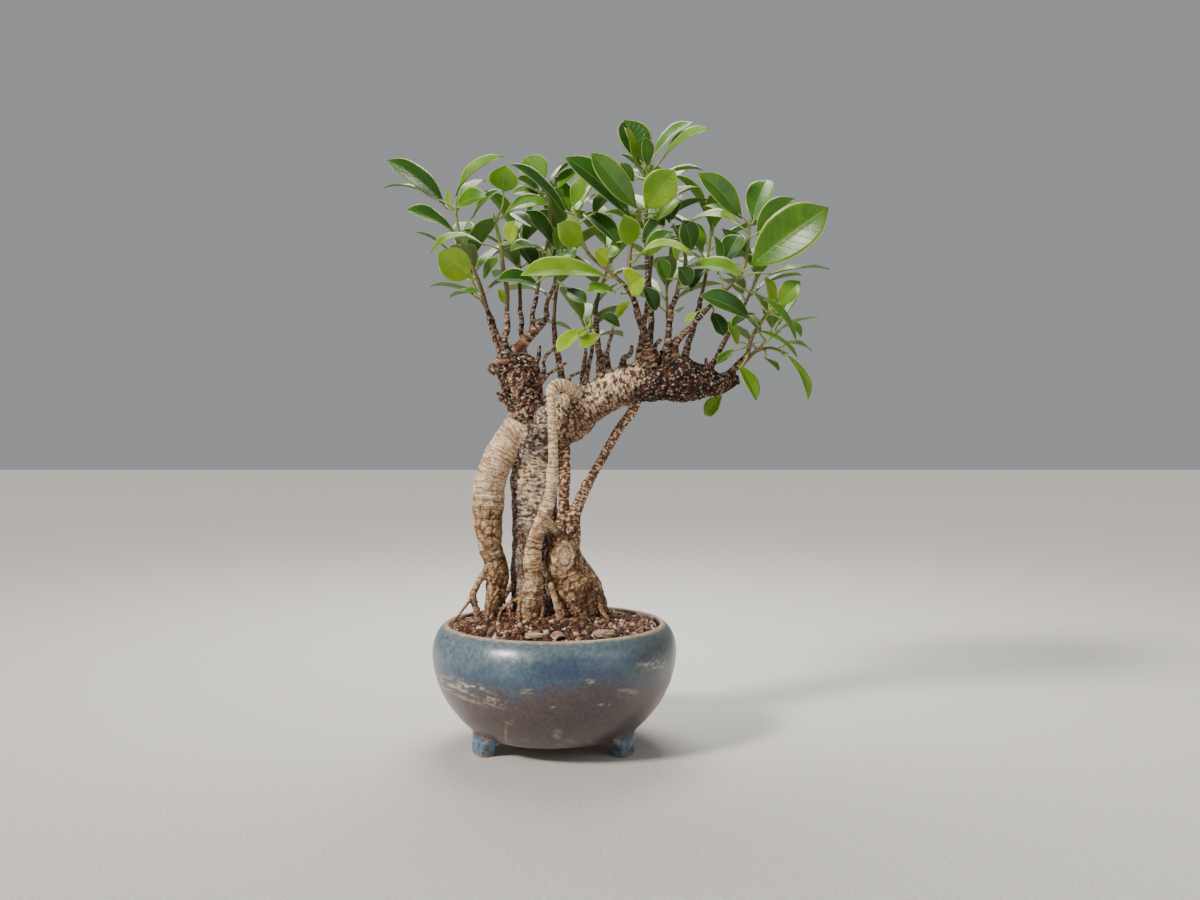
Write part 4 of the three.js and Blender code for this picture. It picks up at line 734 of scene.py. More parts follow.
class Bark:
    """The patterns that every kind of bark is made of, at each point of the wood."""

    def __init__(self, points, member, travelled, angle, radius):
        names = list(MEMBERS)
        self.on_left_root = member == names.index("root_left")
        self.beaded = np.isin(member, [names.index("mid_root"), names.index("prop_root")])
        self.x, self.y, self.z = points.T
        self.unrolled = np.stack([np.cos(angle) * radius, np.sin(angle) * radius, travelled], 1)
        self.broad = fractal(points * 0.055, 3)
        self.mottled = fractal(points * 0.22 + 7.0, 4)
        self.fine = fractal(points * 0.8 + 3.0, 3)
        self.rings = fractal(self.unrolled * [0.05, 0.05, 0.8] + member[:, None] * 5.0, 3)
        self.bars = fractal(self.unrolled * [0.30, 0.30, 0.85] + 31.0, 3)
        self.creases = fractal(self.unrolled * [0.5, 0.5, 0.12] + 11.0, 3)
        warped = self.unrolled * [1.0, 1.0, 0.8] + self.mottled[:, None] * 1.5
        self.block = plates_of(warped, PLATE_SIZE)


# Each kind of bark gives its relief in millimetres, its colour, and how strongly it is striped.

def ringed_bark(at):
    """The aerial and surface roots: ringed, with plates low on the left root and beads on thin ones."""
    upper = smoothstep(150, 172, at.z)
    blocks = smoothstep(165, 152, at.z + 13 * at.mottled + 0.4 * (at.x + 44)) * at.on_left_root
    blocks = np.maximum(blocks, 0.6 * smoothstep(132, 118, at.z))
    relief = 0.3 * at.broad + 0.42 * at.rings + 0.2 * at.fine + 0.25 * at.bars
    relief = relief + blocks * (0.55 * (at.block - 1) + 0.25 * at.mottled)
    paint = blend(TAN, CREAM, smoothstep(-0.3, 0.25, at.mottled + 0.7 * upper + 0.4 * at.bars))
    paint = blend(paint, BROWN, 0.65 * smoothstep(0.08, 0.32, -at.rings) * (1 - 0.6 * upper))
    paint = blend(paint, GOLD, 0.5 * blocks)
    paint = blend(paint, BROWN, blocks * (1 - at.block) * 0.75)
    paint = blend(paint, BROWN, 0.3 * smoothstep(0.16, 0.36, -at.fine) * smoothstep(150, 120, at.z))
    beaded = blend(RED_BROWN, CREAM, smoothstep(0.10, 0.20, at.bars + 0.3 * at.fine))
    paint = blend(paint, beaded, 0.95 * at.beaded)
    return relief, paint, 1 - 0.55 * blocks


def core_bark(at):
    """The grey, creased trunk, with a patch of painted sunlight high on its front."""
    relief = 1.2 * at.broad + 0.5 * at.creases + 0.5 * at.bars + 0.3 * at.fine
    paint = blend(BROWN, GREY, smoothstep(-0.25, 0.3, at.mottled + 0.3 * at.creases))
    paint = blend(paint, DARK, 0.7 * smoothstep(0.18, 0.42, -at.creases - 0.3 * at.bars))
    paint = blend(paint, WHITE, 0.75 * smoothstep(0.16, 0.3, at.bars) * smoothstep(134, 150, at.z))
    paint = blend(paint, WHITE, 0.5 * smoothstep(0.2, 0.34, at.fine) * smoothstep(146, 130, at.z))
    # Painted sunlight: a pale cream patch where the sun falls on the trunk's front, fainter in an oval
    # inside it.
    left_edge = -26 + 0.5 * np.clip(178 - at.z, 0, 40)
    painted_sunlight = smoothstep(-1.5, 2, at.x - left_edge + 3 * at.mottled) * smoothstep(-4, -9, at.x)
    painted_sunlight = painted_sunlight * smoothstep(152, 160, at.z) * smoothstep(6, -2, at.y)
    painted_sunlight = painted_sunlight * smoothstep(3, -1, at.z - 186 - 0.5 * (at.x + 18))
    hollow = np.hypot((at.x + 12) / 4, (at.z - 174) / 7)
    painted_sunlight = painted_sunlight * (1 - 0.8 * smoothstep(1.3, 0.8, hollow))
    paint = blend(paint, CREAM, 0.95 * painted_sunlight * smoothstep(-0.3, 0.0, at.bars + 0.4 * at.mottled))
    return relief, paint, np.full(len(relief), OLD_STRIPES)


def base_bark(at):
    """The buttress: plates, and the rings of the round knot."""
    oval = np.hypot((at.x - 8 + 1.2 * at.mottled) / 5.2, (at.z - 127 + 1.2 * at.broad) / 7.6)
    on_knot = smoothstep(-13, -18, at.y) * smoothstep(1.35, 1.0, oval)
    rim = smoothstep(0.25, 0.0, np.abs(oval - 0.82)) + 0.6 * smoothstep(0.16, 0.0, np.abs(oval - 0.42))
    base_relief = 1.4 * at.broad + 0.4 * at.creases + 0.45 * at.rings + 0.35 * at.fine
    base_relief = base_relief + 0.6 * (at.block - 1)
    knot_relief = 0.3 - 0.85 * rim + 0.3 * at.fine
    relief = base_relief * (1 - on_knot) + on_knot * knot_relief
    paint = blend(GOLD * 0.8, TAN, smoothstep(-0.3, 0.25, at.mottled + 0.4 * at.rings))
    paint = blend(paint, CREAM, 0.6 * smoothstep(0.05, 0.4, at.mottled + 0.3 * at.fine))
    paint = blend(paint, BROWN, 0.75 * (1 - at.block))
    paint = blend(paint, BROWN, 0.55 * smoothstep(0.12, 0.36, -at.fine - 0.3 * at.mottled))
    paint = blend(paint, CREAM * 0.68, on_knot * 0.6)
    paint = blend(paint, BROWN, on_knot * rim * 0.4)
    return relief, paint, np.full(len(relief), OLD_STRIPES)


def limb_bark(at):
    """The right limb: pale and flaky near the trunk, dark and rough further out."""
    old = smoothstep(48, 60, at.x + 6 * at.mottled + 0.3 * (238 - at.z))
    # Painted shade: the underside of the limb is painted browner, with fewer cream and white flakes.
    under = smoothstep(4, -9, at.z - (215 + 0.42 * np.clip(at.x, 0, 60)) + 5 * at.mottled)
    flaky = 0.5 * at.broad + 0.85 * at.bars + 0.4 * at.fine
    rough = 1.4 * at.broad + 1.0 * at.creases + 0.7 * at.bars + 0.6 * at.fine
    relief = flaky + (rough - flaky) * old
    pale = blend(BROWN * 1.2, CREAM, smoothstep(-0.12, 0.06, at.bars + 0.3 * at.fine - 0.10 * under))
    pale = blend(pale, WHITE, 0.75 * smoothstep(0.05, 0.3, at.bars + 0.3 * at.mottled) * (1 - under))
    pale = blend(pale, BROWN, 0.55 * under)
    aged = blend(DARK, RED_BROWN, 0.8 * smoothstep(-0.1, 0.4, at.mottled + 0.4 * at.bars))
    aged = blend(aged, WHITE, 0.7 * smoothstep(0.40, 0.50, at.fine + 0.2 * at.bars))
    return relief, blend(pale, aged, old), np.where(old < 0.5, YOUNG_STRIPES, OLD_STRIPES)


def stump_bark(at):
    """The dark, rough stump of the left limb."""
    relief = 1.4 * at.broad + 0.8 * at.creases + 0.9 * at.bars + 0.6 * at.fine
    paint = blend(DARK, RED_BROWN, smoothstep(-0.25, 0.35, at.mottled + 0.5 * at.bars))
    paint = blend(paint, TAN, 0.7 * smoothstep(0.14, 0.36, at.bars))
    paint = blend(paint, WHITE, 0.75 * smoothstep(0.32, 0.44, at.fine + 0.35 * at.bars))
    foot = smoothstep(222, 208, at.z + 5 * at.mottled)
    paint = blend(paint, CREAM, 0.7 * foot * smoothstep(-0.1, 0.1, at.bars))
    return relief, paint, np.full(len(relief), OLD_STRIPES)


# The thick members that aren't named have ringed bark.
BARKS = {
    "trunk_core": core_bark, "root_back": core_bark, "root_back_right": core_bark,
    "buttress_right": base_bark, "knot": base_bark, "limb_left": stump_bark, "limb_right": limb_bark}


def bark_at(points, member, travelled, angle, radius):
    """For each point: its relief and colour, its place on the unrolled bark, and its stripes."""
    at = Bark(points, member, travelled, angle, radius)
    count = len(points)
    relief, paint, striped = np.empty(count), np.empty((count, 3)), np.empty(count)
    barks = [BARKS.get(name, ringed_bark) for name in MEMBERS]
    for bark in (ringed_bark, core_bark, base_bark, limb_bark, stump_bark):
        here = np.array([bark is other for other in barks])[member]
        relief[here], paint[here], striped[here] = (values[here] for values in bark(at))
    low = smoothstep(110, 90, at.z + 6 * at.mottled)
    relief = relief * (1 + 0.4 * low)
    paint = blend(paint, MOSS, 0.4 * low * smoothstep(0.0, 0.4, at.mottled))
    paint = blend(paint, BROWN, 0.35 * low * smoothstep(0.2, -0.2, at.fine))
    return relief, np.clip(paint, DARKEST, LIGHTEST), at.unrolled, striped


def wood():
    """The one grown piece: thick skin, twigs, stubs and fine roots."""
    skin = thick_wood()
    count = len(skin.vertices)
    flat = np.empty(count * 3)
    skin.vertices.foreach_get("co", flat)
    points = (flat.reshape(-1, 3) - [POT_X, POT_Y, 0]) / MM
    skin.vertices.foreach_get("normal", flat)
    normals = flat.reshape(-1, 3)
    relief, paint, unrolled, striped = bark_at(points, *nearest_member(points))
    points = points + normals * (relief - 0.15)[:, None]
    corners = np.empty(len(skin.loops), int)
    skin.loops.foreach_get("vertex_index", corners)
    sizes = np.empty(len(skin.polygons), int)
    skin.polygons.foreach_get("loop_total", sizes)
    faces = [part.tolist() for part in np.split(corners, np.cumsum(sizes)[:-1])]
    bpy.data.meshes.remove(skin)

    verts = [points]
    colors = [paint]
    reliefs = [relief]
    wraps = [np.column_stack([unrolled, striped])]
    total = count
    thin = [(row, "twig") for row in TWIGS.values()] + [(row, "root") for row in FINE_ROOTS]
    thin += [(row, "stub") for row in old_stubs()]
    for number, (stations, sort) in enumerate(thin):
        more, sides, color, bumps, wrapped = thin_wood(stations, sort, number, total)
        verts.append(more)
        colors.append(color)
        reliefs.append(bumps)
        wraps.append(wrapped)
        faces.extend(sides)
        total += len(more)
    piece = finish_mesh("trunk_roots_and_twigs", np.vstack(verts), faces)
    store(piece, "paint", np.vstack(colors))
    store(piece, "relief", np.concatenate(reliefs))
    wraps = np.vstack(wraps)
    store(piece, "unrolled", wraps[:, :3])
    store(piece, "striped", wraps[:, 3])
    piece.data.materials.append(bark_material())
    stand_for(piece, "trunk_and_roots")


def old_stubs():
    """Short pegs left on the limb and the stump by lost twigs."""
    dice = random.Random(11)
    rows = []
    for _ in range(STUB_COUNT):
        name = dice.choice(["limb_right", "limb_right", "limb_right", "limb_left"])
        line = centripetal(MEMBERS[name], 4)
        _, side, across = frames(line)
        low = int(len(line) * (0.48 if name == "limb_right" else 0.35))
        at = dice.randrange(low, len(line) - 3)
        angle = dice.uniform(0, 2 * math.pi)
        out = side[at] * math.cos(angle) + across[at] * math.sin(angle)
        if out[2] < -0.3:
            continue
        foot = line[at, :3] + out * (line[at, 3] - 1.5)
        length = dice.uniform(2.5, 6.5)
        lean = np.array([dice.uniform(-0.4, 0.4), dice.uniform(-0.4, 0.4), 0.35])
        tip = foot + (out + lean) * length
        thick = dice.uniform(0.7, 1.5)
        rows.append([[*foot, thick * 1.3], [*((foot + tip) / 2), thick], [*tip, thick * 0.75]])
    return rows


def thin_wood(stations, sort, seed, first):
    """One twig, stub or fine root, with its knuckles and colour."""
    length = sum(math.dist(a[:3], b[:3]) for a, b in zip(stations, stations[1:]))
    points = centripetal(stations, max(3, round(length / 0.75 / (len(stations) - 1))))
    travelled = np.linspace(0, length, len(points))
    knuckles = np.abs(np.cos(travelled * math.pi / KNUCKLE_SPACING + seed)) ** 14
    grain = np.array([noise.noise((s * 0.8, seed * 3.7, 0.5)) for s in travelled])
    points[:, 3] *= 1 + 0.16 * knuckles + 0.12 * grain
    wander = np.array([[noise.noise((s * 0.16, seed, axis)) for axis in (1.5, 4.5)] for s in travelled])
    ease = np.minimum(1, np.minimum(travelled, length - travelled) / 6)
    points[:, :2] += 0.7 * wander * ease[:, None]
    verts, faces, where = tube(points, TWIG_CORNERS, first)
    spots = fractal(verts * 0.9 + seed, 3)
    broad = fractal(verts * 0.12 + seed, 2)
    height = verts[:, 2]
    if sort == "root":
        color = blend(BROWN, TAN, smoothstep(-0.3, 0.3, spots))
    else:
        color = blend(DARK, RED_BROWN, smoothstep(-0.3, 0.3, broad + 0.5 * spots))
        color = blend(color, TAN, 0.5 * smoothstep(0.1, 0.4, spots) * smoothstep(305, 262, height))
        color = blend(color, WHITE, 0.5 * smoothstep(0.34, 0.48, spots))
    color = blend(color, CREAM, 0.35 * np.repeat(knuckles, TWIG_CORNERS) * (sort == "twig"))
    angle, thick = where[:, 1], where[:, 2]
    wrapped = np.stack([np.cos(angle) * thick, np.sin(angle) * thick, where[:, 0]], 1)
    wrapped = np.column_stack([wrapped, np.full(len(verts), TWIG_STRIPES)])
    return verts, faces, np.clip(color, DARKEST, LIGHTEST), 0.3 * spots, wrapped


def bark_material():
    """Fine rings, flakes and grain over the colours and relief kept on the mesh."""
    bark = Shader("bark")
    paint = bark.stored("paint").outputs["Color"]
    relief = bark.stored("relief").outputs["Fac"]
    striped = bark.stored("striped").outputs["Fac"]
    wrapped = bark.stored("unrolled").outputs["Vector"]
    speckle = bark.noise(1900, 4, 0.65)
    grain = bark.noise(620, 5, 0.6, distortion=0.4)
    flat_rings = bark.vector("MULTIPLY", wrapped, (0.10, 0.10, 1.5))
    lines = bark.noise(1.0, 4, 0.62, place=flat_rings, distortion=0.25)
    short_marks = bark.vector("MULTIPLY", wrapped, (0.45, 0.45, 1.25))
    flakes = bark.noise(1.0, 4, 0.6, place=short_marks, distortion=0.5)
    # Painted shade: the colour is darkened where the relief is low, in the bark's crevices.
    shade = bark.plus(bark.times(bark.step(relief, -1.0, 0.3), 0.5), 0.5)
    color = bark.tinted(paint, grain, (0.3, (0.62, 0.58, 0.55)), (0.62, (1.15, 1.12, 1.08)))
    ringed = bark.tinted(
        color, lines, (0.36, (0.38, 0.30, 0.25)), (0.47, (0.9, 0.88, 0.86)), (0.62, (1.22, 1.2, 1.16)))
    color = bark.mix(striped, color, ringed)
    scaly = bark.tinted(
        color, flakes, (0.40, (0.5, 0.44, 0.4)), (0.5, (1, 1, 1)), (0.66, (1.3, 1.28, 1.25)))
    color = bark.mix(0.8, color, scaly)
    color = bark.tinted(color, shade, (0.5, (0.45, 0.39, 0.35)), (1.0, (1, 1, 1)))
    normal = bark.bump(grain, 0.5, 0.0005)
    normal = bark.bump(lines, 0.7, 0.0007, normal)
    normal = bark.bump(flakes, 0.75, 0.0008, normal)
    normal = bark.bump(speckle, 0.35, 0.0002, normal)
    rough = bark.plus(bark.times(grain, 0.25), 0.66)
    return bark.surface(color, rough, normal, Specular_IOR_Level=0.3)


# ---- the shoots ----

BLADE_ROWS = 17
BLADE_COLUMNS = 11
BLADE_THICKNESS = 0.35
BLADE_OUTLINE = [
    (0, 0.06), (0.04, 0.16), (0.12, 0.42), (0.25, 0.72), (0.4, 0.93), (0.55, 1), (0.68, 0.97),
    (0.8, 0.82), (0.88, 0.58), (0.93, 0.36), (0.965, 0.17), (1, 0.015)]
GOLDEN_ANGLE = 137.5

# On the far side a shoot bears its leaves from FIRST_NODE of its length upwards. Each rises by its
# rest angle at the lowest leaf, and by its lift more at the highest.
FIRST_NODE = 0.3
STALK_RISE, STALK_LIFT, STALK_LENGTH = 35, 25, 8
BLADE_RISE, BLADE_LIFT = 5, 45
BLADE_TAPER = 0.25
BLADE_BREADTH = 0.46
BLADE_ARCH = 0.08
STEM_TONE = (0.3, 0.6, 0.0)
BUD_TONE = (0.8, 0.8, 1.0)
STEM_KNUCKLES = 0.12
FRONT_SEED, BACK_SEED = 100, 300


def unit(vector):
    """The vector, one long."""
    return vector / np.linalg.norm(vector)


def front_facing(along, degrees):
    """The normal of a blade that lies this way and is tipped back by some degrees from the front."""
    front = np.array([0, -1.0, 0])
    front = unit(front - along * front.dot(along))
    up = np.cross(front, along)
    if up[2] < 0:
        up = -up
    return front * math.cos(math.radians(degrees)) + up * math.sin(math.radians(degrees))


def up_facing(along):
    """The normal of a blade that lies this way and faces upwards."""
    up = np.array([0, 0, 1.0])
    return unit(up - along * up.dot(along))


def heading(azimuth, elevation):
    """The direction at this angle round Z and this angle above the horizon."""
    turn, rise = math.radians(azimuth), math.radians(elevation)
    return np.array([math.cos(turn) * math.cos(rise), math.sin(turn) * math.cos(rise), math.sin(rise)])


def blade_faces(first):
    """The faces of a blade's two layers and of its edge, where its corners start at first."""
    columns, layer = BLADE_COLUMNS, BLADE_ROWS * BLADE_COLUMNS
    faces = []
    for row in range(BLADE_ROWS - 1):
        for column in range(columns - 1):
            a = first + row * columns + column
            b, c, d = a + 1, a + columns + 1, a + columns
            faces.append([a, b, c, d])
            faces.append([a + layer, d + layer, c + layer, b + layer])
    edge = list(range(columns))
    edge += [(row + 1) * columns - 1 for row in range(1, BLADE_ROWS)]
    edge += [(BLADE_ROWS - 1) * columns + column for column in range(columns - 2, -1, -1)]
    edge += [row * columns for row in range(BLADE_ROWS - 2, 0, -1)]
    for a, b in zip(edge, edge[1:] + edge[:1]):
        faces.append([first + b, first + a, first + a + layer, first + b + layer])
    return faces


class Shoot:
    """Gathers a stem with its stalks, blades and bud into one mesh."""

    def __init__(self, name, seed):
        self.name = name
        self.dice = random.Random(seed)
        self.verts, self.faces, self.kinds, self.grid, self.tones = [], [], [], [], []
        self.total = 0

    def add(self, verts, faces, kind, grid, tone):
        """Takes in a blade (kind 0) or a stalk (kind 1)."""
        count = len(verts)
        self.verts.append(verts)
        self.faces.extend(faces)
        self.kinds.extend([kind] * len(faces))
        self.grid.append(grid)
        self.tones.append(np.tile(tone, (count, 1)))
        self.total += count

    def twig(self, stations, per_span, corners, tone, knuckles=0.0):
        """A stem, a stalk or a bud."""
        points = centripetal(stations, per_span)
        share = np.linspace(0, 1, len(points))
        points[:, 3] *= 1 + knuckles * np.abs(np.cos(share * math.pi * 6)) ** 10
        verts, faces, where = tube(points, corners, self.total)
        round_it = where[:, 1] / (2 * math.pi)
        grid = np.stack([np.repeat(share, corners), round_it, np.ones(len(verts))], 1)
        self.add(verts, faces, 1, grid, tone)

    def leaf(self, foot, tip, width, normal, arch, stalk_from, tone):
        """A blade of two layers, closed at its edge and shaped partly by chance, on its stalk."""
        dice = self.dice
        foot, tip = np.asarray(foot, float), np.asarray(tip, float)
        reach = tip - foot
        length = np.linalg.norm(reach)
        along = reach / length
        aside = np.cross(along, normal)
        fold = math.radians(dice.uniform(9, 24))
        twist = math.radians(dice.uniform(-9, 9))
        curl = dice.uniform(-0.01, 0.035) * length
        bend = dice.uniform(-0.03, 0.03) * length
        wave = dice.uniform(0.15, 0.5) * min(1, width / 14)
        phase = dice.uniform(0, 6.28)
        outline = np.array(BLADE_OUTLINE)
        part = np.linspace(0, 1, BLADE_ROWS) ** 0.92
        half = np.interp(part, outline[:, 0], outline[:, 1]) * width / 2
        across = np.linspace(-1, 1, BLADE_COLUMNS)
        turn = twist * (part - 0.35)
        row_aside = aside[None] * np.cos(turn)[:, None] + normal[None] * np.sin(turn)[:, None]
        row_normal = normal[None] * np.cos(turn)[:, None] - aside[None] * np.sin(turn)[:, None]
        rib = foot + reach * part[:, None] + normal * (arch * length * 4 * part * (1 - part))[:, None]
        rib = rib - normal * (curl * np.clip(part - 0.7, 0, 1) ** 2 / 0.09)[:, None]
        rib = rib + aside * (bend * 4 * part * (1 - part))[:, None]
        out = across[None, :] * half[:, None] * math.cos(fold)
        lift = np.abs(across)[None, :] ** 1.25 * half[:, None] * math.sin(fold)
        ripple = wave * np.sin(part[:, None] * 11 + phase + across[None, :] * 1.3)
        ripple = ripple * across[None, :] ** 2
        groove = -0.22 * np.exp(-(across / 0.12) ** 2)[None, :] * np.sin(math.pi * part)[:, None]
        middle = (
            rib[:, None] + row_aside[:, None] * out[..., None]
            + row_normal[:, None] * (lift + ripple + groove)[..., None])
        thin = BLADE_THICKNESS / 2 * (1 - 0.55 * across**2)
        verts = np.concatenate([
            (middle + row_normal[:, None] * thin[None, :, None]).reshape(-1, 3),
            (middle - row_normal[:, None] * thin[None, :, None]).reshape(-1, 3)])
        share = np.broadcast_to(part[:, None], middle.shape[:2]).ravel()
        over = np.broadcast_to(across[None, :] * 0.5 + 0.5, middle.shape[:2]).ravel()
        grid = np.stack([np.tile(share, 2), np.tile(over, 2), np.repeat([1.0, 0.0], len(share))], 1)
        faces = blade_faces(self.total)
        if np.dot(np.cross(verts[1] - verts[0], verts[BLADE_COLUMNS] - verts[0]), normal) < 0:
            faces = [face[::-1] for face in faces]
        self.add(verts, faces, 0, grid, (*tone, dice.random()))
        end = foot + reach * 0.1 + normal * (arch * length * 0.36)
        self.stalk(np.asarray(stalk_from, float), end, tone)

    def stalk(self, start, end, tone):
        """A leaf's stalk, bowed by chance."""
        dice = self.dice
        sag = unit(np.array([dice.uniform(-1, 1), dice.uniform(-1, 0.2), dice.uniform(-0.4, 1)]))
        bow = (start + end) / 2 + sag * 0.1 * np.linalg.norm(end - start)
        self.twig([[*start, 0.8], [*bow, 0.62], [*end, 0.5]], 5, 8, (tone[0], tone[1], 1.0))

    def finish(self):
        """The piece that stands for this shoot's node."""
        piece = finish_mesh(self.name + "_looks", np.vstack(self.verts), self.faces)
        store(piece, "grid", np.vstack(self.grid))
        store(piece, "tone", np.vstack(self.tones))
        piece.data.materials.append(LEAF_LOOKS)
        piece.data.materials.append(STEM_LOOKS)
        piece.data.polygons.foreach_set("material_index", self.kinds)
        stand_for(piece, self.name)


def place_on(stations, place):
    """The point on a stem at this share of its length."""
    spots = centripetal(stations, 24)
    return spots[round(place * (len(spots) - 1)), :3]


def bud(shoot, stations):
    """The pointed bud at the tip of a stem."""
    last, before = np.array(stations[-1][:3]), np.array(stations[-2][:3])
    out = unit(last - before)
    stations = [[*last, 1.0], [*(last + out * 2.2), 1.15], [*(last + out * 6), 0.18]]
    shoot.twig(stations, 5, 8, BUD_TONE)


def front_shoot(name, row, tones, seed):
    """A shoot with its leaves in the places seen from the front."""
    shoot = Shoot(name, seed)
    shoot.twig(row["stem"], 10, 10, STEM_TONE, STEM_KNUCKLES)
    for (place, foot, tip, width, facing, arch), tone in zip(row["leaves"], tones):
        along = unit(np.subtract(tip, foot))
        node = place_on(row["stem"], place)
        shoot.leaf(foot, tip, width, front_facing(along, facing), arch, node, tone)
    if len(row["leaves"]) > 1:
        bud(shoot, row["stem"])
    shoot.finish()


def back_shoot(name, row, seed):
    """A shoot on the far side, with its leaves spiralling up the stem."""
    stations, count, first, longest = row
    shoot = Shoot(name, seed)
    shoot.twig(stations, 10, 10, STEM_TONE, STEM_KNUCKLES)
    for number in range(count):
        part = number / (count - 1)
        azimuth = first + number * GOLDEN_ANGLE
        node = place_on(stations, FIRST_NODE + (1 - FIRST_NODE) * part)
        foot = node + heading(azimuth, STALK_RISE + STALK_LIFT * part) * STALK_LENGTH
        length = longest * (1 - BLADE_TAPER * abs(part - 0.5))
        along = heading(azimuth, BLADE_RISE + BLADE_LIFT * part)
        tip = foot + along * length
        tone = (shoot.dice.uniform(0.1, 0.65), shoot.dice.uniform(0.1, 0.7))
        shoot.leaf(foot, tip, BLADE_BREADTH * length, up_facing(along), BLADE_ARCH, node, tone)
    bud(shoot, stations)
    shoot.finish()


def leaf_material():
    """Green with a pale rib, side veins and margin, and some light shining through."""
    leaf = Shader("leaf")
    length, across, top = leaf.split(leaf.stored("grid").outputs["Color"])
    tone, warm, _ = leaf.split(leaf.stored("tone").outputs["Color"])
    blotch = leaf.noise(75, 3, 0.5)
    fine = leaf.noise(900, 3, 0.6)
    shade = leaf.plus(tone, leaf.times(leaf.minus(blotch, 0.5), 0.5))
    color = leaf.ramp(
        shade, (0.05, (0.014, 0.062, 0.010)), (0.35, (0.042, 0.155, 0.010)),
        (0.62, (0.11, 0.29, 0.012)), (0.85, (0.22, 0.44, 0.018)), (1.0, (0.36, 0.58, 0.035)))
    yellow = leaf.multiplied(color, (1.75, 1.02, 0.35))
    color = leaf.mix(leaf.times(warm, 0.5), color, yellow)
    from_rib = leaf.math("ABSOLUTE", leaf.minus(across, 0.5))
    rib = leaf.step(from_rib, 0.045, 0.008)
    branches = leaf.minus(leaf.times(length, 62), leaf.times(from_rib, 26))
    vein = leaf.step(leaf.math("SINE", branches), 0.82, 1.0)
    vein = leaf.times(vein, leaf.step(from_rib, 0.47, 0.3))
    pale = leaf.mix(1.0, color, (0.06, 0.08, 0.02), "ADD")
    color = leaf.mix(leaf.times(vein, 0.28), color, pale)
    color = leaf.mix(leaf.times(rib, 0.65), color, (0.20, 0.30, 0.06))
    margin = leaf.step(from_rib, 0.445, 0.475)
    color = leaf.mix(leaf.times(margin, 0.9), color, (0.50, 0.60, 0.15))
    under = leaf.mix(0.5, color, (0.13, 0.20, 0.05))
    color = leaf.mix(top, under, color)
    spot = leaf.step(leaf.noise(260, 2, 0.5), 0.72, 0.78)
    color = leaf.mix(leaf.times(spot, 0.4), color, (0.13, 0.09, 0.03))
    relief = leaf.plus(leaf.times(vein, -0.5), leaf.times(rib, -0.9))
    normal = leaf.bump(relief, 0.35, 0.0004)
    normal = leaf.bump(fine, 0.08, 0.0002, normal)
    normal = leaf.bump(blotch, 0.25, 0.0012, normal)
    rough = leaf.ramp(top, (0.0, (0.52, 0.52, 0.52)), (1.0, (0.28, 0.28, 0.28)))
    rough = leaf.plus(rough, leaf.times(blotch, 0.1))
    made = leaf.surface(color, rough, normal, Specular_IOR_Level=0.5)
    through = leaf.node("ShaderNodeBsdfTranslucent")
    glow = leaf.multiplied(color, (1.9, 1.75, 0.8))
    leaf.feed(through.inputs["Color"], glow)
    leaf.feed(through.inputs["Normal"], normal)
    both = leaf.node("ShaderNodeMixShader")
    both.inputs[0].default_value = 0.3
    leaf.tree.links.new(leaf.principled.outputs[0], both.inputs[1])
    leaf.tree.links.new(through.outputs[0], both.inputs[2])
    leaf.tree.links.new(both.outputs[0], leaf.output.inputs["Surface"])
    return made


def stem_material():
    """Young green stems with a brown foot, and paler leaf stalks."""
    stem = Shader("green_stem")
    length, _, _ = stem.split(stem.stored("grid").outputs["Color"])
    _, _, stalk = stem.split(stem.stored("tone").outputs["Color"])
    spots = stem.noise(420, 4, 0.6)
    young = stem.ramp(
        length, (0.0, (0.10, 0.05, 0.028)), (0.45, (0.16, 0.12, 0.035)), (0.85, (0.20, 0.27, 0.05)))
    color = stem.mix(stalk, young, (0.27, 0.36, 0.075))
    color = stem.tinted(color, spots, (0.3, (0.75, 0.7, 0.65)), (0.65, (1.15, 1.15, 1.1)))
    normal = stem.bump(spots, 0.3, 0.0003)
    return stem.surface(color, stem.plus(stem.times(spots, 0.2), 0.36), normal)


# ---- the soil and what lies on it ----

SOIL_TOP = [(0, 90), (34, 85.4), (58, 79.5), (69.6, 75.9)]
GRAVEL_SPACING, GRAVEL_REACH = 3.15, 67.6
GRAIN_COUNT, GRAIN_REACH = 900, 68.6
LARGE = 1.3

PEBBLE_PLACE = (33, -52, 82)
PEBBLE_RADII = (5.8, 3.9, 2.5)
PEBBLE_TURN = 14
PEBBLE_LUMPS = 0.42
PEBBLE_SQUARENESS = 0.9

# The granules' colours, each with its share of them all.
GRAVEL_TONES = [
    ((0.115, 0.040, 0.022), 0.34), ((0.24, 0.125, 0.070), 0.20), ((0.50, 0.36, 0.27), 0.13),
    ((0.036, 0.016, 0.011), 0.27), ((0.15, 0.10, 0.08), 0.06)]

# Low and high corners of the places kept free of granules, for what lies on the soil.
CLEARED = [
    ((-18, -60, 79), (-4, -51, 90)), ((-3, -59, 79), (9, -47, 90)), ((26, -57, 79), (40, -47, 90))]


def soil_height(radius):
    """How high the soil stands at this distance from the pot's axis."""
    return np.interp(radius, [r for r, _ in SOIL_TOP], [z for _, z in SOIL_TOP])


def ball(subdivisions):
    """Corners and triangles of a round ball of radius 1."""
    build = bmesh.new()
    bmesh.ops.create_icosphere(build, subdivisions=subdivisions, radius=1)
    verts = np.array([v.co[:] for v in build.verts])
    faces = np.array([[v.index for v in f.verts] for f in build.faces])
    build.free()
    return verts, faces


def from_wood(points):
    """How far each point is outside the thick wood."""
    nearest = np.full(len(points), 1e9)
    for stations in MEMBERS.values():
        line = centripetal(stations, 6)
        for spot in line[line[:, 2] < 115]:
            nearest = np.minimum(nearest, np.linalg.norm(points - spot[:3], axis=1) - spot[3])
    return nearest


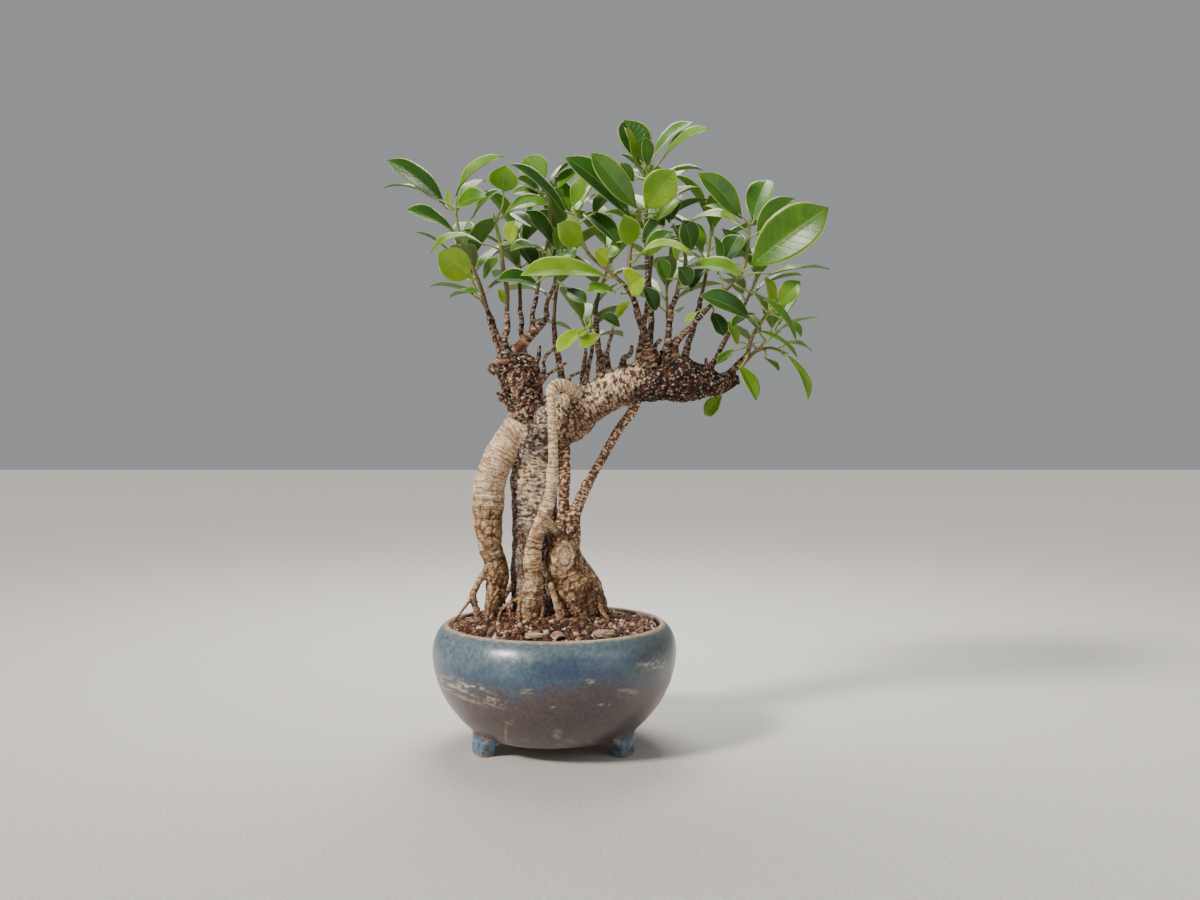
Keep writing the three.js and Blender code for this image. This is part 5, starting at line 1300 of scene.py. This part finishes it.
def gravel():
    """Loose granules on the soil: large ones in rows, and small ones scattered over them."""
    dice = np.random.default_rng(5)
    places = []
    for row in range(-26, 27):
        for column in range(-24, 25):
            x = (column + 0.5 * (row % 2)) * GRAVEL_SPACING + dice.uniform(-0.8, 0.8)
            y = row * GRAVEL_SPACING * 0.87 + dice.uniform(-0.8, 0.8)
            if math.hypot(x, y) < GRAVEL_REACH:
                places.append((x, y, dice.uniform(1.25, 2.3), dice.uniform(-0.7, 0.8)))
    for _ in range(GRAIN_COUNT):
        turn, radius = dice.uniform(0, 2 * math.pi), GRAIN_REACH * math.sqrt(dice.uniform(0, 1))
        x, y = radius * math.cos(turn), radius * math.sin(turn)
        places.append((x, y, dice.uniform(0.6, 1.1), dice.uniform(0.6, 1.7)))
    places = np.array(places)
    height = soil_height(np.hypot(places[:, 0], places[:, 1])) + places[:, 3]
    centres = np.column_stack([places[:, :2], height])
    clear = from_wood(centres) > 0.1
    for low, high in CLEARED:
        inside = (centres > np.array(low)).all(1) & (centres < np.array(high)).all(1)
        clear &= ~inside
    centres, sizes = centres[clear], places[clear, 2]
    shape, sides = ball(2)
    small, small_sides = ball(1)
    verts, faces, paint = [], [], []
    total = 0
    tones = np.array([tone for tone, _ in GRAVEL_TONES])
    shares = np.cumsum([share for _, share in GRAVEL_TONES])
    for number, (centre, size) in enumerate(zip(centres, sizes)):
        body, skin = (shape, sides) if size > LARGE else (small, small_sides)
        spots = [Vector(spot) for spot in body]
        lump = np.array([noise.noise(p * 1.1 + Vector((number * 3.7, 0, 0))) for p in spots])
        rough = np.array([noise.noise(p * 3.1 + Vector((0, number * 1.9, 0))) for p in spots])
        stone = body * (1 + 0.32 * lump + 0.13 * rough)[:, None]
        stretch = dice.uniform(0.72, 1.2, 3)
        turn = Vector(dice.uniform(-1, 1, 3)).to_track_quat("Z", "Y").to_matrix()
        stone = (stone * stretch) @ np.array(turn).T * size + centre
        tone = tones[min(np.searchsorted(shares, dice.uniform(0, 1)), len(tones) - 1)]
        verts.append(stone)
        faces.append(skin + total)
        paint.append(tone * dice.uniform(0.75, 1.3) * (1 + 0.35 * rough)[:, None])
        total += len(body)
    piece = finish_mesh("soil_granules", np.vstack(verts), np.vstack(faces))
    store(piece, "paint", np.clip(np.vstack(paint), 0.01, 0.8))
    piece.data.materials.append(gravel_material("soil_granule"))
    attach(piece, "root")


def gravel_material(name, tone=None):
    """Dull grit of one colour, or of the colours kept on the mesh."""
    grit = Shader(name)
    color = tone if tone else grit.stored("paint").outputs["Color"]
    grain = grit.noise(800, 5, 0.65)
    pits = grit.noise(2300, 3, 0.6)
    color = grit.tinted(color, grain, (0.3, (0.6, 0.56, 0.54)), (0.68, (1.3, 1.27, 1.22)))
    normal = grit.bump(grain, 0.6, 0.0006)
    normal = grit.bump(pits, 0.5, 0.0002, normal)
    return grit.surface(color, grit.plus(grit.times(grain, 0.15), 0.8), normal)


def pebble():
    """The pale stone that lies on the soil by the front rim."""
    body, sides = ball(5)
    body = np.sign(body) * np.abs(body) ** PEBBLE_SQUARENESS
    lump = fractal(body * 1.3 + 10, 3)
    rough = fractal(body * np.array([1.5, 6.0, 6.0]) + 4.0, 3)
    shape = body * (1 + PEBBLE_LUMPS * (lump + 0.45 * rough))[:, None] * np.array(PEBBLE_RADII)
    piece = finish_mesh("pale_stone", shape @ turned(PEBBLE_TURN) + np.array(PEBBLE_PLACE), sides)
    piece.data.materials.append(gravel_material("pale_stone", (0.36, 0.26, 0.20)))
    stand_for(piece, "pebble")


def chip_material(name, light, dark):
    """Split bark with its grain along X."""
    chip = Shader(name)
    grain = chip.noise(240, 5, 0.6, place=chip.vector("MULTIPLY", chip.place, (0.35, 1.0, 1.8)))
    fine = chip.noise(1500, 4, 0.6)
    color = chip.ramp(grain, (0.35, dark), (0.6, light))
    color = chip.tinted(color, fine, (0.3, (0.75, 0.72, 0.7)), (0.7, (1.15, 1.15, 1.15)))
    normal = chip.bump(grain, 0.7, 0.0008)
    normal = chip.bump(fine, 0.4, 0.0003, normal)
    return chip.surface(color, chip.plus(chip.times(grain, 0.2), 0.72), normal)


# ---- the pot ----

POT_OUTSIDE = [
    (7, 10), (30, 10), (48, 10), (52, 11), (57, 15), (64, 22), (72, 33), (78, 47), (80.5, 60),
    (80, 68), (77.5, 75), (74, 79.5), (71.5, 81.2)]
POT_INSIDE = [
    (71.5, 81.2), (70.2, 81.0), (69.6, 80), (70, 76), (74, 68), (74, 56), (69, 40), (59, 26),
    (48, 16), (7, 16)]
FOOT_ANGLES = [-150, -30, 90]
FOOT_RADIUS = 52
FOOT_CORNERS = 56
POT_CORNERS = 320

# A foot's height, half width and half depth, from the floor upwards.
FOOT_ROWS = [
    (0, 6.6, 4.6), (0.5, 7.5, 5.4), (1.6, 8.1, 5.9), (3.5, 8.5, 6.0), (6, 9.4, 5.9),
    (8.2, 10.8, 5.6), (10.2, 12.8, 5.1), (12, 15.4, 4.4), (13.6, 18.4, 3.6), (14.8, 21, 2.8)]

GLAZE_TEAL = np.array([0.105, 0.155, 0.170])
GLAZE_BLUE = np.array([0.034, 0.072, 0.122])
GLAZE_NAVY = np.array([0.016, 0.033, 0.085])
GLAZE_TAUPE = np.array([0.066, 0.045, 0.041])
GLAZE_OLIVE = np.array([0.070, 0.092, 0.078])
GLAZE_RED = np.array([0.15, 0.055, 0.035])
GLAZE_BRIGHT = np.array([0.055, 0.19, 0.31])
CLAY = np.array([0.30, 0.16, 0.085])
LIP = np.array([0.42, 0.29, 0.17])
SCUFF = np.array([0.62, 0.50, 0.38])
# The colours of painted sunlight and painted shadow on the inside of the back rim.
SUNLIT_RIM_PAINT = np.array([0.62, 0.54, 0.44])
RIM_SHADOW_PAINT = np.array([0.02, 0.02, 0.022])

# Worn marks on the front: middle and half size as seen from the front, and how strong.
SCUFFS = [
    ((-27, 57), (3, 3.4), 0.5), ((23, 41), (4.5, 2.2), 0.45), ((34, 26), (6.5, 1.3), 0.55),
    ((64, 53), (12, 4.5), 0.5), ((-52, 38), (9, 1.6), 0.6), ((2, 7), (4, 5), 0.3),
    ((-18, 34), (6, 3), 0.3), ((-1, 24), (1.5, 1), 0.6), ((-30, 15), (4, 3), 0.25),
    ((48, 34), (8, 5), 0.25)]


def spaced(profile, step):
    """The profile as a smooth line with a point every step."""
    stations = np.array([(r, z, 0, 0) for r, z in profile], float)
    line = centripetal(stations, 24)[:, :2]
    gone = travel(line)
    stops = np.linspace(0, gone[-1], round(gone[-1] / step) + 1)
    return np.column_stack([np.interp(stops, gone, line[:, 0]), np.interp(stops, gone, line[:, 1])])


def mark(across, height, centre, half):
    """1 in the middle of an oval mark, fading to 0 at its edge."""
    away = ((across - centre[0]) / half[0]) ** 2 + ((height - centre[1]) / half[1]) ** 2
    return np.clip(1.3 - 1.3 * away, 0, 1)


def pot_paint(points, inner):
    """The glaze's colour at each point; inner is 1 on the inside wall."""
    x, y, z = points.T
    deep = 1 + y / CAMERA_DISTANCE
    across = CAMERA_X + (x - CAMERA_X) / deep
    height = CAMERA_HEIGHT + (z - CAMERA_HEIGHT) / deep
    broad = fractal(points * 0.03 + 2.0, 3)
    mid = fractal(points * 0.11 + 9.0, 4)
    fine = fractal(points * 0.45 + 5.0, 3)
    color = blend(GLAZE_TAUPE, GLAZE_BLUE, smoothstep(43, 60, z + 6 * mid + 7 * broad))
    teal = smoothstep(60, 74, z + 5 * mid + 5 * broad - 0.06 * across)
    color = blend(color, GLAZE_TEAL, 0.85 * teal)
    navy = mark(across, height, (10, 50), (40, 11))
    color = blend(color, GLAZE_NAVY, 0.7 * smoothstep(0.0, 1.1, navy + 0.6 * mid - 0.1))
    color = blend(color, GLAZE_OLIVE, 0.8 * smoothstep(38, 66, x + 14 * mid) * smoothstep(44, 60, z))
    red = smoothstep(50, 74, x + 10 * mid) * smoothstep(50, 38, z + 6 * broad)
    color = blend(color, GLAZE_RED, 0.5 * red)
    flecks = smoothstep(0.2, 0.55, fine + 0.4 * mid) * smoothstep(30, 44, z)
    color = blend(color, GLAZE_BLUE, 0.4 * flecks)
    color = blend(color, GLAZE_TAUPE, 0.6 * smoothstep(0.22, 0.5, -fine - 0.2 * mid))
    color = blend(color, CLAY, 0.35 * smoothstep(0.25, 0.6, mid) * smoothstep(30, 14, z))
    front = y < 0
    down = np.stack([across * 0.05 - height * 0.02, across * 0.33 + height * 0.88, y * 0.01], 1)
    streaks = fractal(down, 4)
    level = fractal(np.stack([across * 0.07, height * 1.1, y * 0.01 + 7], 1), 4)
    slant = mark(across, height + 0.36 * (across + 58), (-58, 35), (30, 7.5)) * front
    color = blend(color, SCUFF, 0.45 * slant * smoothstep(0.08, 0.34, streaks))
    for centre, half, strength in SCUFFS:
        worn = mark(across, height, centre, half) * front
        color = blend(color, SCUFF, strength * worn * smoothstep(-0.1, 0.3, level + 0.4 * fine))
    crease = mark(across, height, (-32.5, 6), (1.1, 7)) * front
    color = blend(color, CLAY, 0.8 * crease)
    feet = [FOOT_RADIUS * np.array([math.cos(a), math.sin(a)]) for a in map(math.radians, FOOT_ANGLES)]
    foot = np.min([np.hypot(x - middle[0], y - middle[1]) for middle in feet], 0)
    on_foot = smoothstep(19, 12, foot) * smoothstep(14, 9, z)
    color = blend(color, GLAZE_BRIGHT, 0.75 * on_foot * smoothstep(-0.15, 0.3, fine + 0.25 * (x < 0)))
    color = blend(color, CLAY, smoothstep(2.6, 0.9, z + 1.2 * mid))
    under = (z < 10.3) & (np.hypot(x, y) < 46)
    color = np.where(under[:, None], CLAY * 0.8, color)
    lip = smoothstep(79.6, 80.6, z + 0.5 * fine)
    color = blend(color, LIP, 0.9 * lip)
    wall = blend(GLAZE_TAUPE * 0.8, LIP, smoothstep(-0.3, 0.3, mid))
    # Painted sunlight: a pale patch where the sun falls on the inside of the back rim.
    painted_sunlight = mark(x, z, (61, 78), (7, 9)) * (y > 0)
    wall = blend(wall, SUNLIT_RIM_PAINT, smoothstep(0.2, 0.5, painted_sunlight))
    # Painted shadow: two dark bands that branches cast across the lit inside of the rim.
    for centre, half in (((53, 78), (3, 9)), ((67.5, 76), (1.6, 9))):
        wall = blend(wall, RIM_SHADOW_PAINT, smoothstep(0.2, 0.6, mark(x, z, centre, half)) * (y > 0))
    return np.clip(blend(color, wall, inner * (1 - lip)), 0.01, 0.9)


def pot_piece():
    """The bowl, turned from its profile with a slight wobble, and its three feet."""
    outside = spaced(POT_OUTSIDE, 1.0)
    profile = np.vstack([outside, spaced(POT_INSIDE, 1.4)[1:]])
    steps = POT_CORNERS
    turn = np.arange(steps) * 2 * math.pi / steps
    wobble = 1 + 0.0022 * np.sin(2 * turn + 0.6) + 0.0012 * np.sin(3 * turn)
    radius = profile[:, 0][:, None] * wobble[None, :]
    level = np.broadcast_to(profile[:, 1][:, None], radius.shape)
    verts = np.stack([radius * np.cos(turn), radius * np.sin(turn), level], -1).reshape(-1, 3)
    rows = len(profile)
    row = (np.arange(rows) * steps)[:, None]
    here = np.arange(steps)[None, :]
    after = (here + 1) % steps
    below = (row + steps) % (rows * steps)
    quads = np.stack([row + here, row + after, below + after, below + here], -1)
    faces = quads.reshape(-1, 4).tolist()
    ripple = fractal(verts * 0.06, 3)
    outward = verts * [1, 1, 0]
    outward /= np.linalg.norm(outward, axis=1)[:, None]
    verts = verts + outward * (0.22 * ripple * (verts[:, 2] > 20))[:, None]
    parts = [verts]
    total = len(verts)
    for angle in FOOT_ANGLES:
        more, sides = pot_foot(angle, total)
        parts.append(more)
        faces.extend(sides)
        total += len(more)
    points = np.vstack(parts)
    inner = np.zeros(total)
    inner[len(outside) * steps:rows * steps] = 1
    piece = finish_mesh("glazed_pot", points, faces)
    store(piece, "paint", pot_paint(points, inner))
    piece.data.materials.append(glaze_material())
    stand_for(piece, "pot")


def pot_foot(angle, first):
    """One bracket foot: narrow on the floor, spreading sideways where it meets the wall."""
    fine = centripetal([(*row, 0) for row in FOOT_ROWS], 4)[:, :3]
    corners = FOOT_CORNERS
    turn = np.arange(corners) * 2 * math.pi / corners
    verts = []
    for height, wide, deep in fine:
        side = np.sign(np.cos(turn)) * np.abs(np.cos(turn)) ** 0.62 * wide
        out = np.sign(np.sin(turn)) * np.abs(np.sin(turn)) ** 0.62 * deep
        bow = -side**2 / (2 * FOOT_RADIUS)
        verts.append(np.column_stack([FOOT_RADIUS + out + bow, side, np.full(corners, height)]))
    verts = np.vstack(verts) @ turned(angle)
    row = (np.arange(len(fine) - 1) * corners)[:, None]
    here = np.arange(corners)[None, :]
    after = (here + 1) % corners
    quads = np.stack([row + here, row + corners + here, row + corners + after, row + after], -1)
    faces = (quads.reshape(-1, 4) + first).tolist()
    faces.append((np.arange(corners) + first).tolist())
    faces.append((np.arange(corners)[::-1] + first + (len(fine) - 1) * corners).tolist())
    return verts, faces


def glaze_material():
    """Mottled and specked glaze over the colours kept on the mesh, with a thin clear coat."""
    glaze = Shader("pot_glaze")
    paint = glaze.stored("paint").outputs["Color"]
    speck = glaze.noise(950, 4, 0.7)
    mottle = glaze.noise(330, 4, 0.6, distortion=0.3)
    color = glaze.tinted(paint, mottle, (0.32, (0.68, 0.72, 0.78)), (0.66, (1.3, 1.26, 1.2)))
    pale = glaze.mix(1.0, color, (0.05, 0.08, 0.095), "ADD")
    color = glaze.mix(glaze.times(glaze.step(speck, 0.56, 0.68), 0.55), color, pale)
    dark = glaze.multiplied(color, (0.42, 0.42, 0.46))
    color = glaze.mix(glaze.times(glaze.step(speck, 0.44, 0.33), 0.5), color, dark)
    pit = glaze.step(glaze.cells(420), 0.10, 0.02)
    color = glaze.mix(glaze.times(pit, 0.5), color, (0.42, 0.40, 0.36))
    normal = glaze.bump(mottle, 0.16, 0.0006)
    normal = glaze.bump(speck, 0.10, 0.0002, normal)
    rough = glaze.plus(glaze.times(mottle, 0.22), 0.24)
    return glaze.surface(color, rough, normal, Coat_Weight=0.35, Coat_Roughness=0.22)


def plain_material(name, color, rough):
    """One colour with a faint grain."""
    plain = Shader(name)
    grain = plain.noise(500, 3, 0.5)
    tint = plain.tinted(color, grain, (0.3, (0.85, 0.85, 0.85)), (0.7, (1.1, 1.1, 1.1)))
    return plain.surface(tint, rough, plain.bump(grain, 0.1, 0.0003))


def area_light(name, place, aim, size, power, color):
    """A square lamp at a place, turned to the point it aims at."""
    data = bpy.data.lights.new(name, "AREA")
    data.size = size
    data.energy = power
    data.color = color
    lamp = bpy.data.objects.new(name, data)
    lamp.location = Vector(place) * MM + Vector((POT_X, POT_Y, 0))
    toward = Vector(aim) - Vector(place)
    lamp.rotation_mode = "QUATERNION"
    lamp.rotation_quaternion = toward.to_track_quat("-Z", "Y")
    bpy.context.scene.collection.objects.link(lamp)


# ---- everything in place ----

LEAF_LOOKS = leaf_material()
STEM_LOOKS = stem_material()

wood()
for order, (name, row) in enumerate(SHOOTS.items()):
    front_shoot(name, row, TONES[name], FRONT_SEED + order)
for order, (name, row) in enumerate(BACK_SHOOTS.items()):
    back_shoot(name, row, BACK_SEED + order)
gravel()
pot_piece()
pebble()

NODE_LOOKS = {
    "soil": gravel_material("soil_body", (0.05, 0.024, 0.016)),
    "bark_chip": chip_material("flake_bark", (0.74, 0.53, 0.32), (0.40, 0.26, 0.15)),
    "bark_curl": chip_material("roll_bark", (0.56, 0.37, 0.25), (0.17, 0.09, 0.06)),
    "drain_net": plain_material("net_plastic", (0.015, 0.015, 0.016), 0.55)}
for node, material in NODE_LOOKS.items():
    mesh = bpy.data.objects[node].data
    mesh.materials.clear()
    mesh.materials.append(material)

floor_mesh = bpy.data.meshes.new("floor")
floor_mesh.from_pydata([(-4, -4, 0), (4, -4, 0), (4, 4, 0), (-4, 4, 0)], [], [[0, 1, 2, 3]])
floor = bpy.data.objects.new("floor", floor_mesh)
bpy.context.scene.collection.objects.link(floor)
floor_mesh.materials.append(plain_material("floor", (0.56, 0.54, 0.51), 0.7))


sun = bpy.data.lights.new("key", "SUN")
sun.energy = 4.6
sun.angle = math.radians(11)
sun.color = (1.0, 0.95, 0.87)
key = bpy.data.objects.new("key", sun)
key.rotation_mode = "QUATERNION"
key.rotation_quaternion = Vector((0.64, 0.5, -0.58)).to_track_quat("-Z", "Y")
bpy.context.scene.collection.objects.link(key)
area_light("fill", (800, -700, 380), (20, 0, 180), 0.9, 3, (0.92, 0.96, 1.0))
area_light("back", (0, 380, 760), (10, 330, 0), 0.5, 9, (1.0, 0.97, 0.9))

world = bpy.data.worlds.new("studio")
world.use_nodes = True
world.node_tree.nodes["Background"].inputs["Color"].default_value = (0.80, 0.82, 0.85, 1)
world.node_tree.nodes["Background"].inputs["Strength"].default_value = 0.38
bpy.context.scene.world = world

lens = bpy.data.cameras.new("camera")
lens.lens = 36.15
lens.sensor_width = 36
lens.shift_y = -0.029
camera = bpy.data.objects.new("camera", lens)
camera.location = (CAMERA_X * MM + POT_X, -CAMERA_DISTANCE * MM + POT_Y, CAMERA_HEIGHT * MM)
camera.rotation_euler = (math.pi / 2, 0, 0)
bpy.context.scene.collection.objects.link(camera)
bpy.context.scene.camera = camera
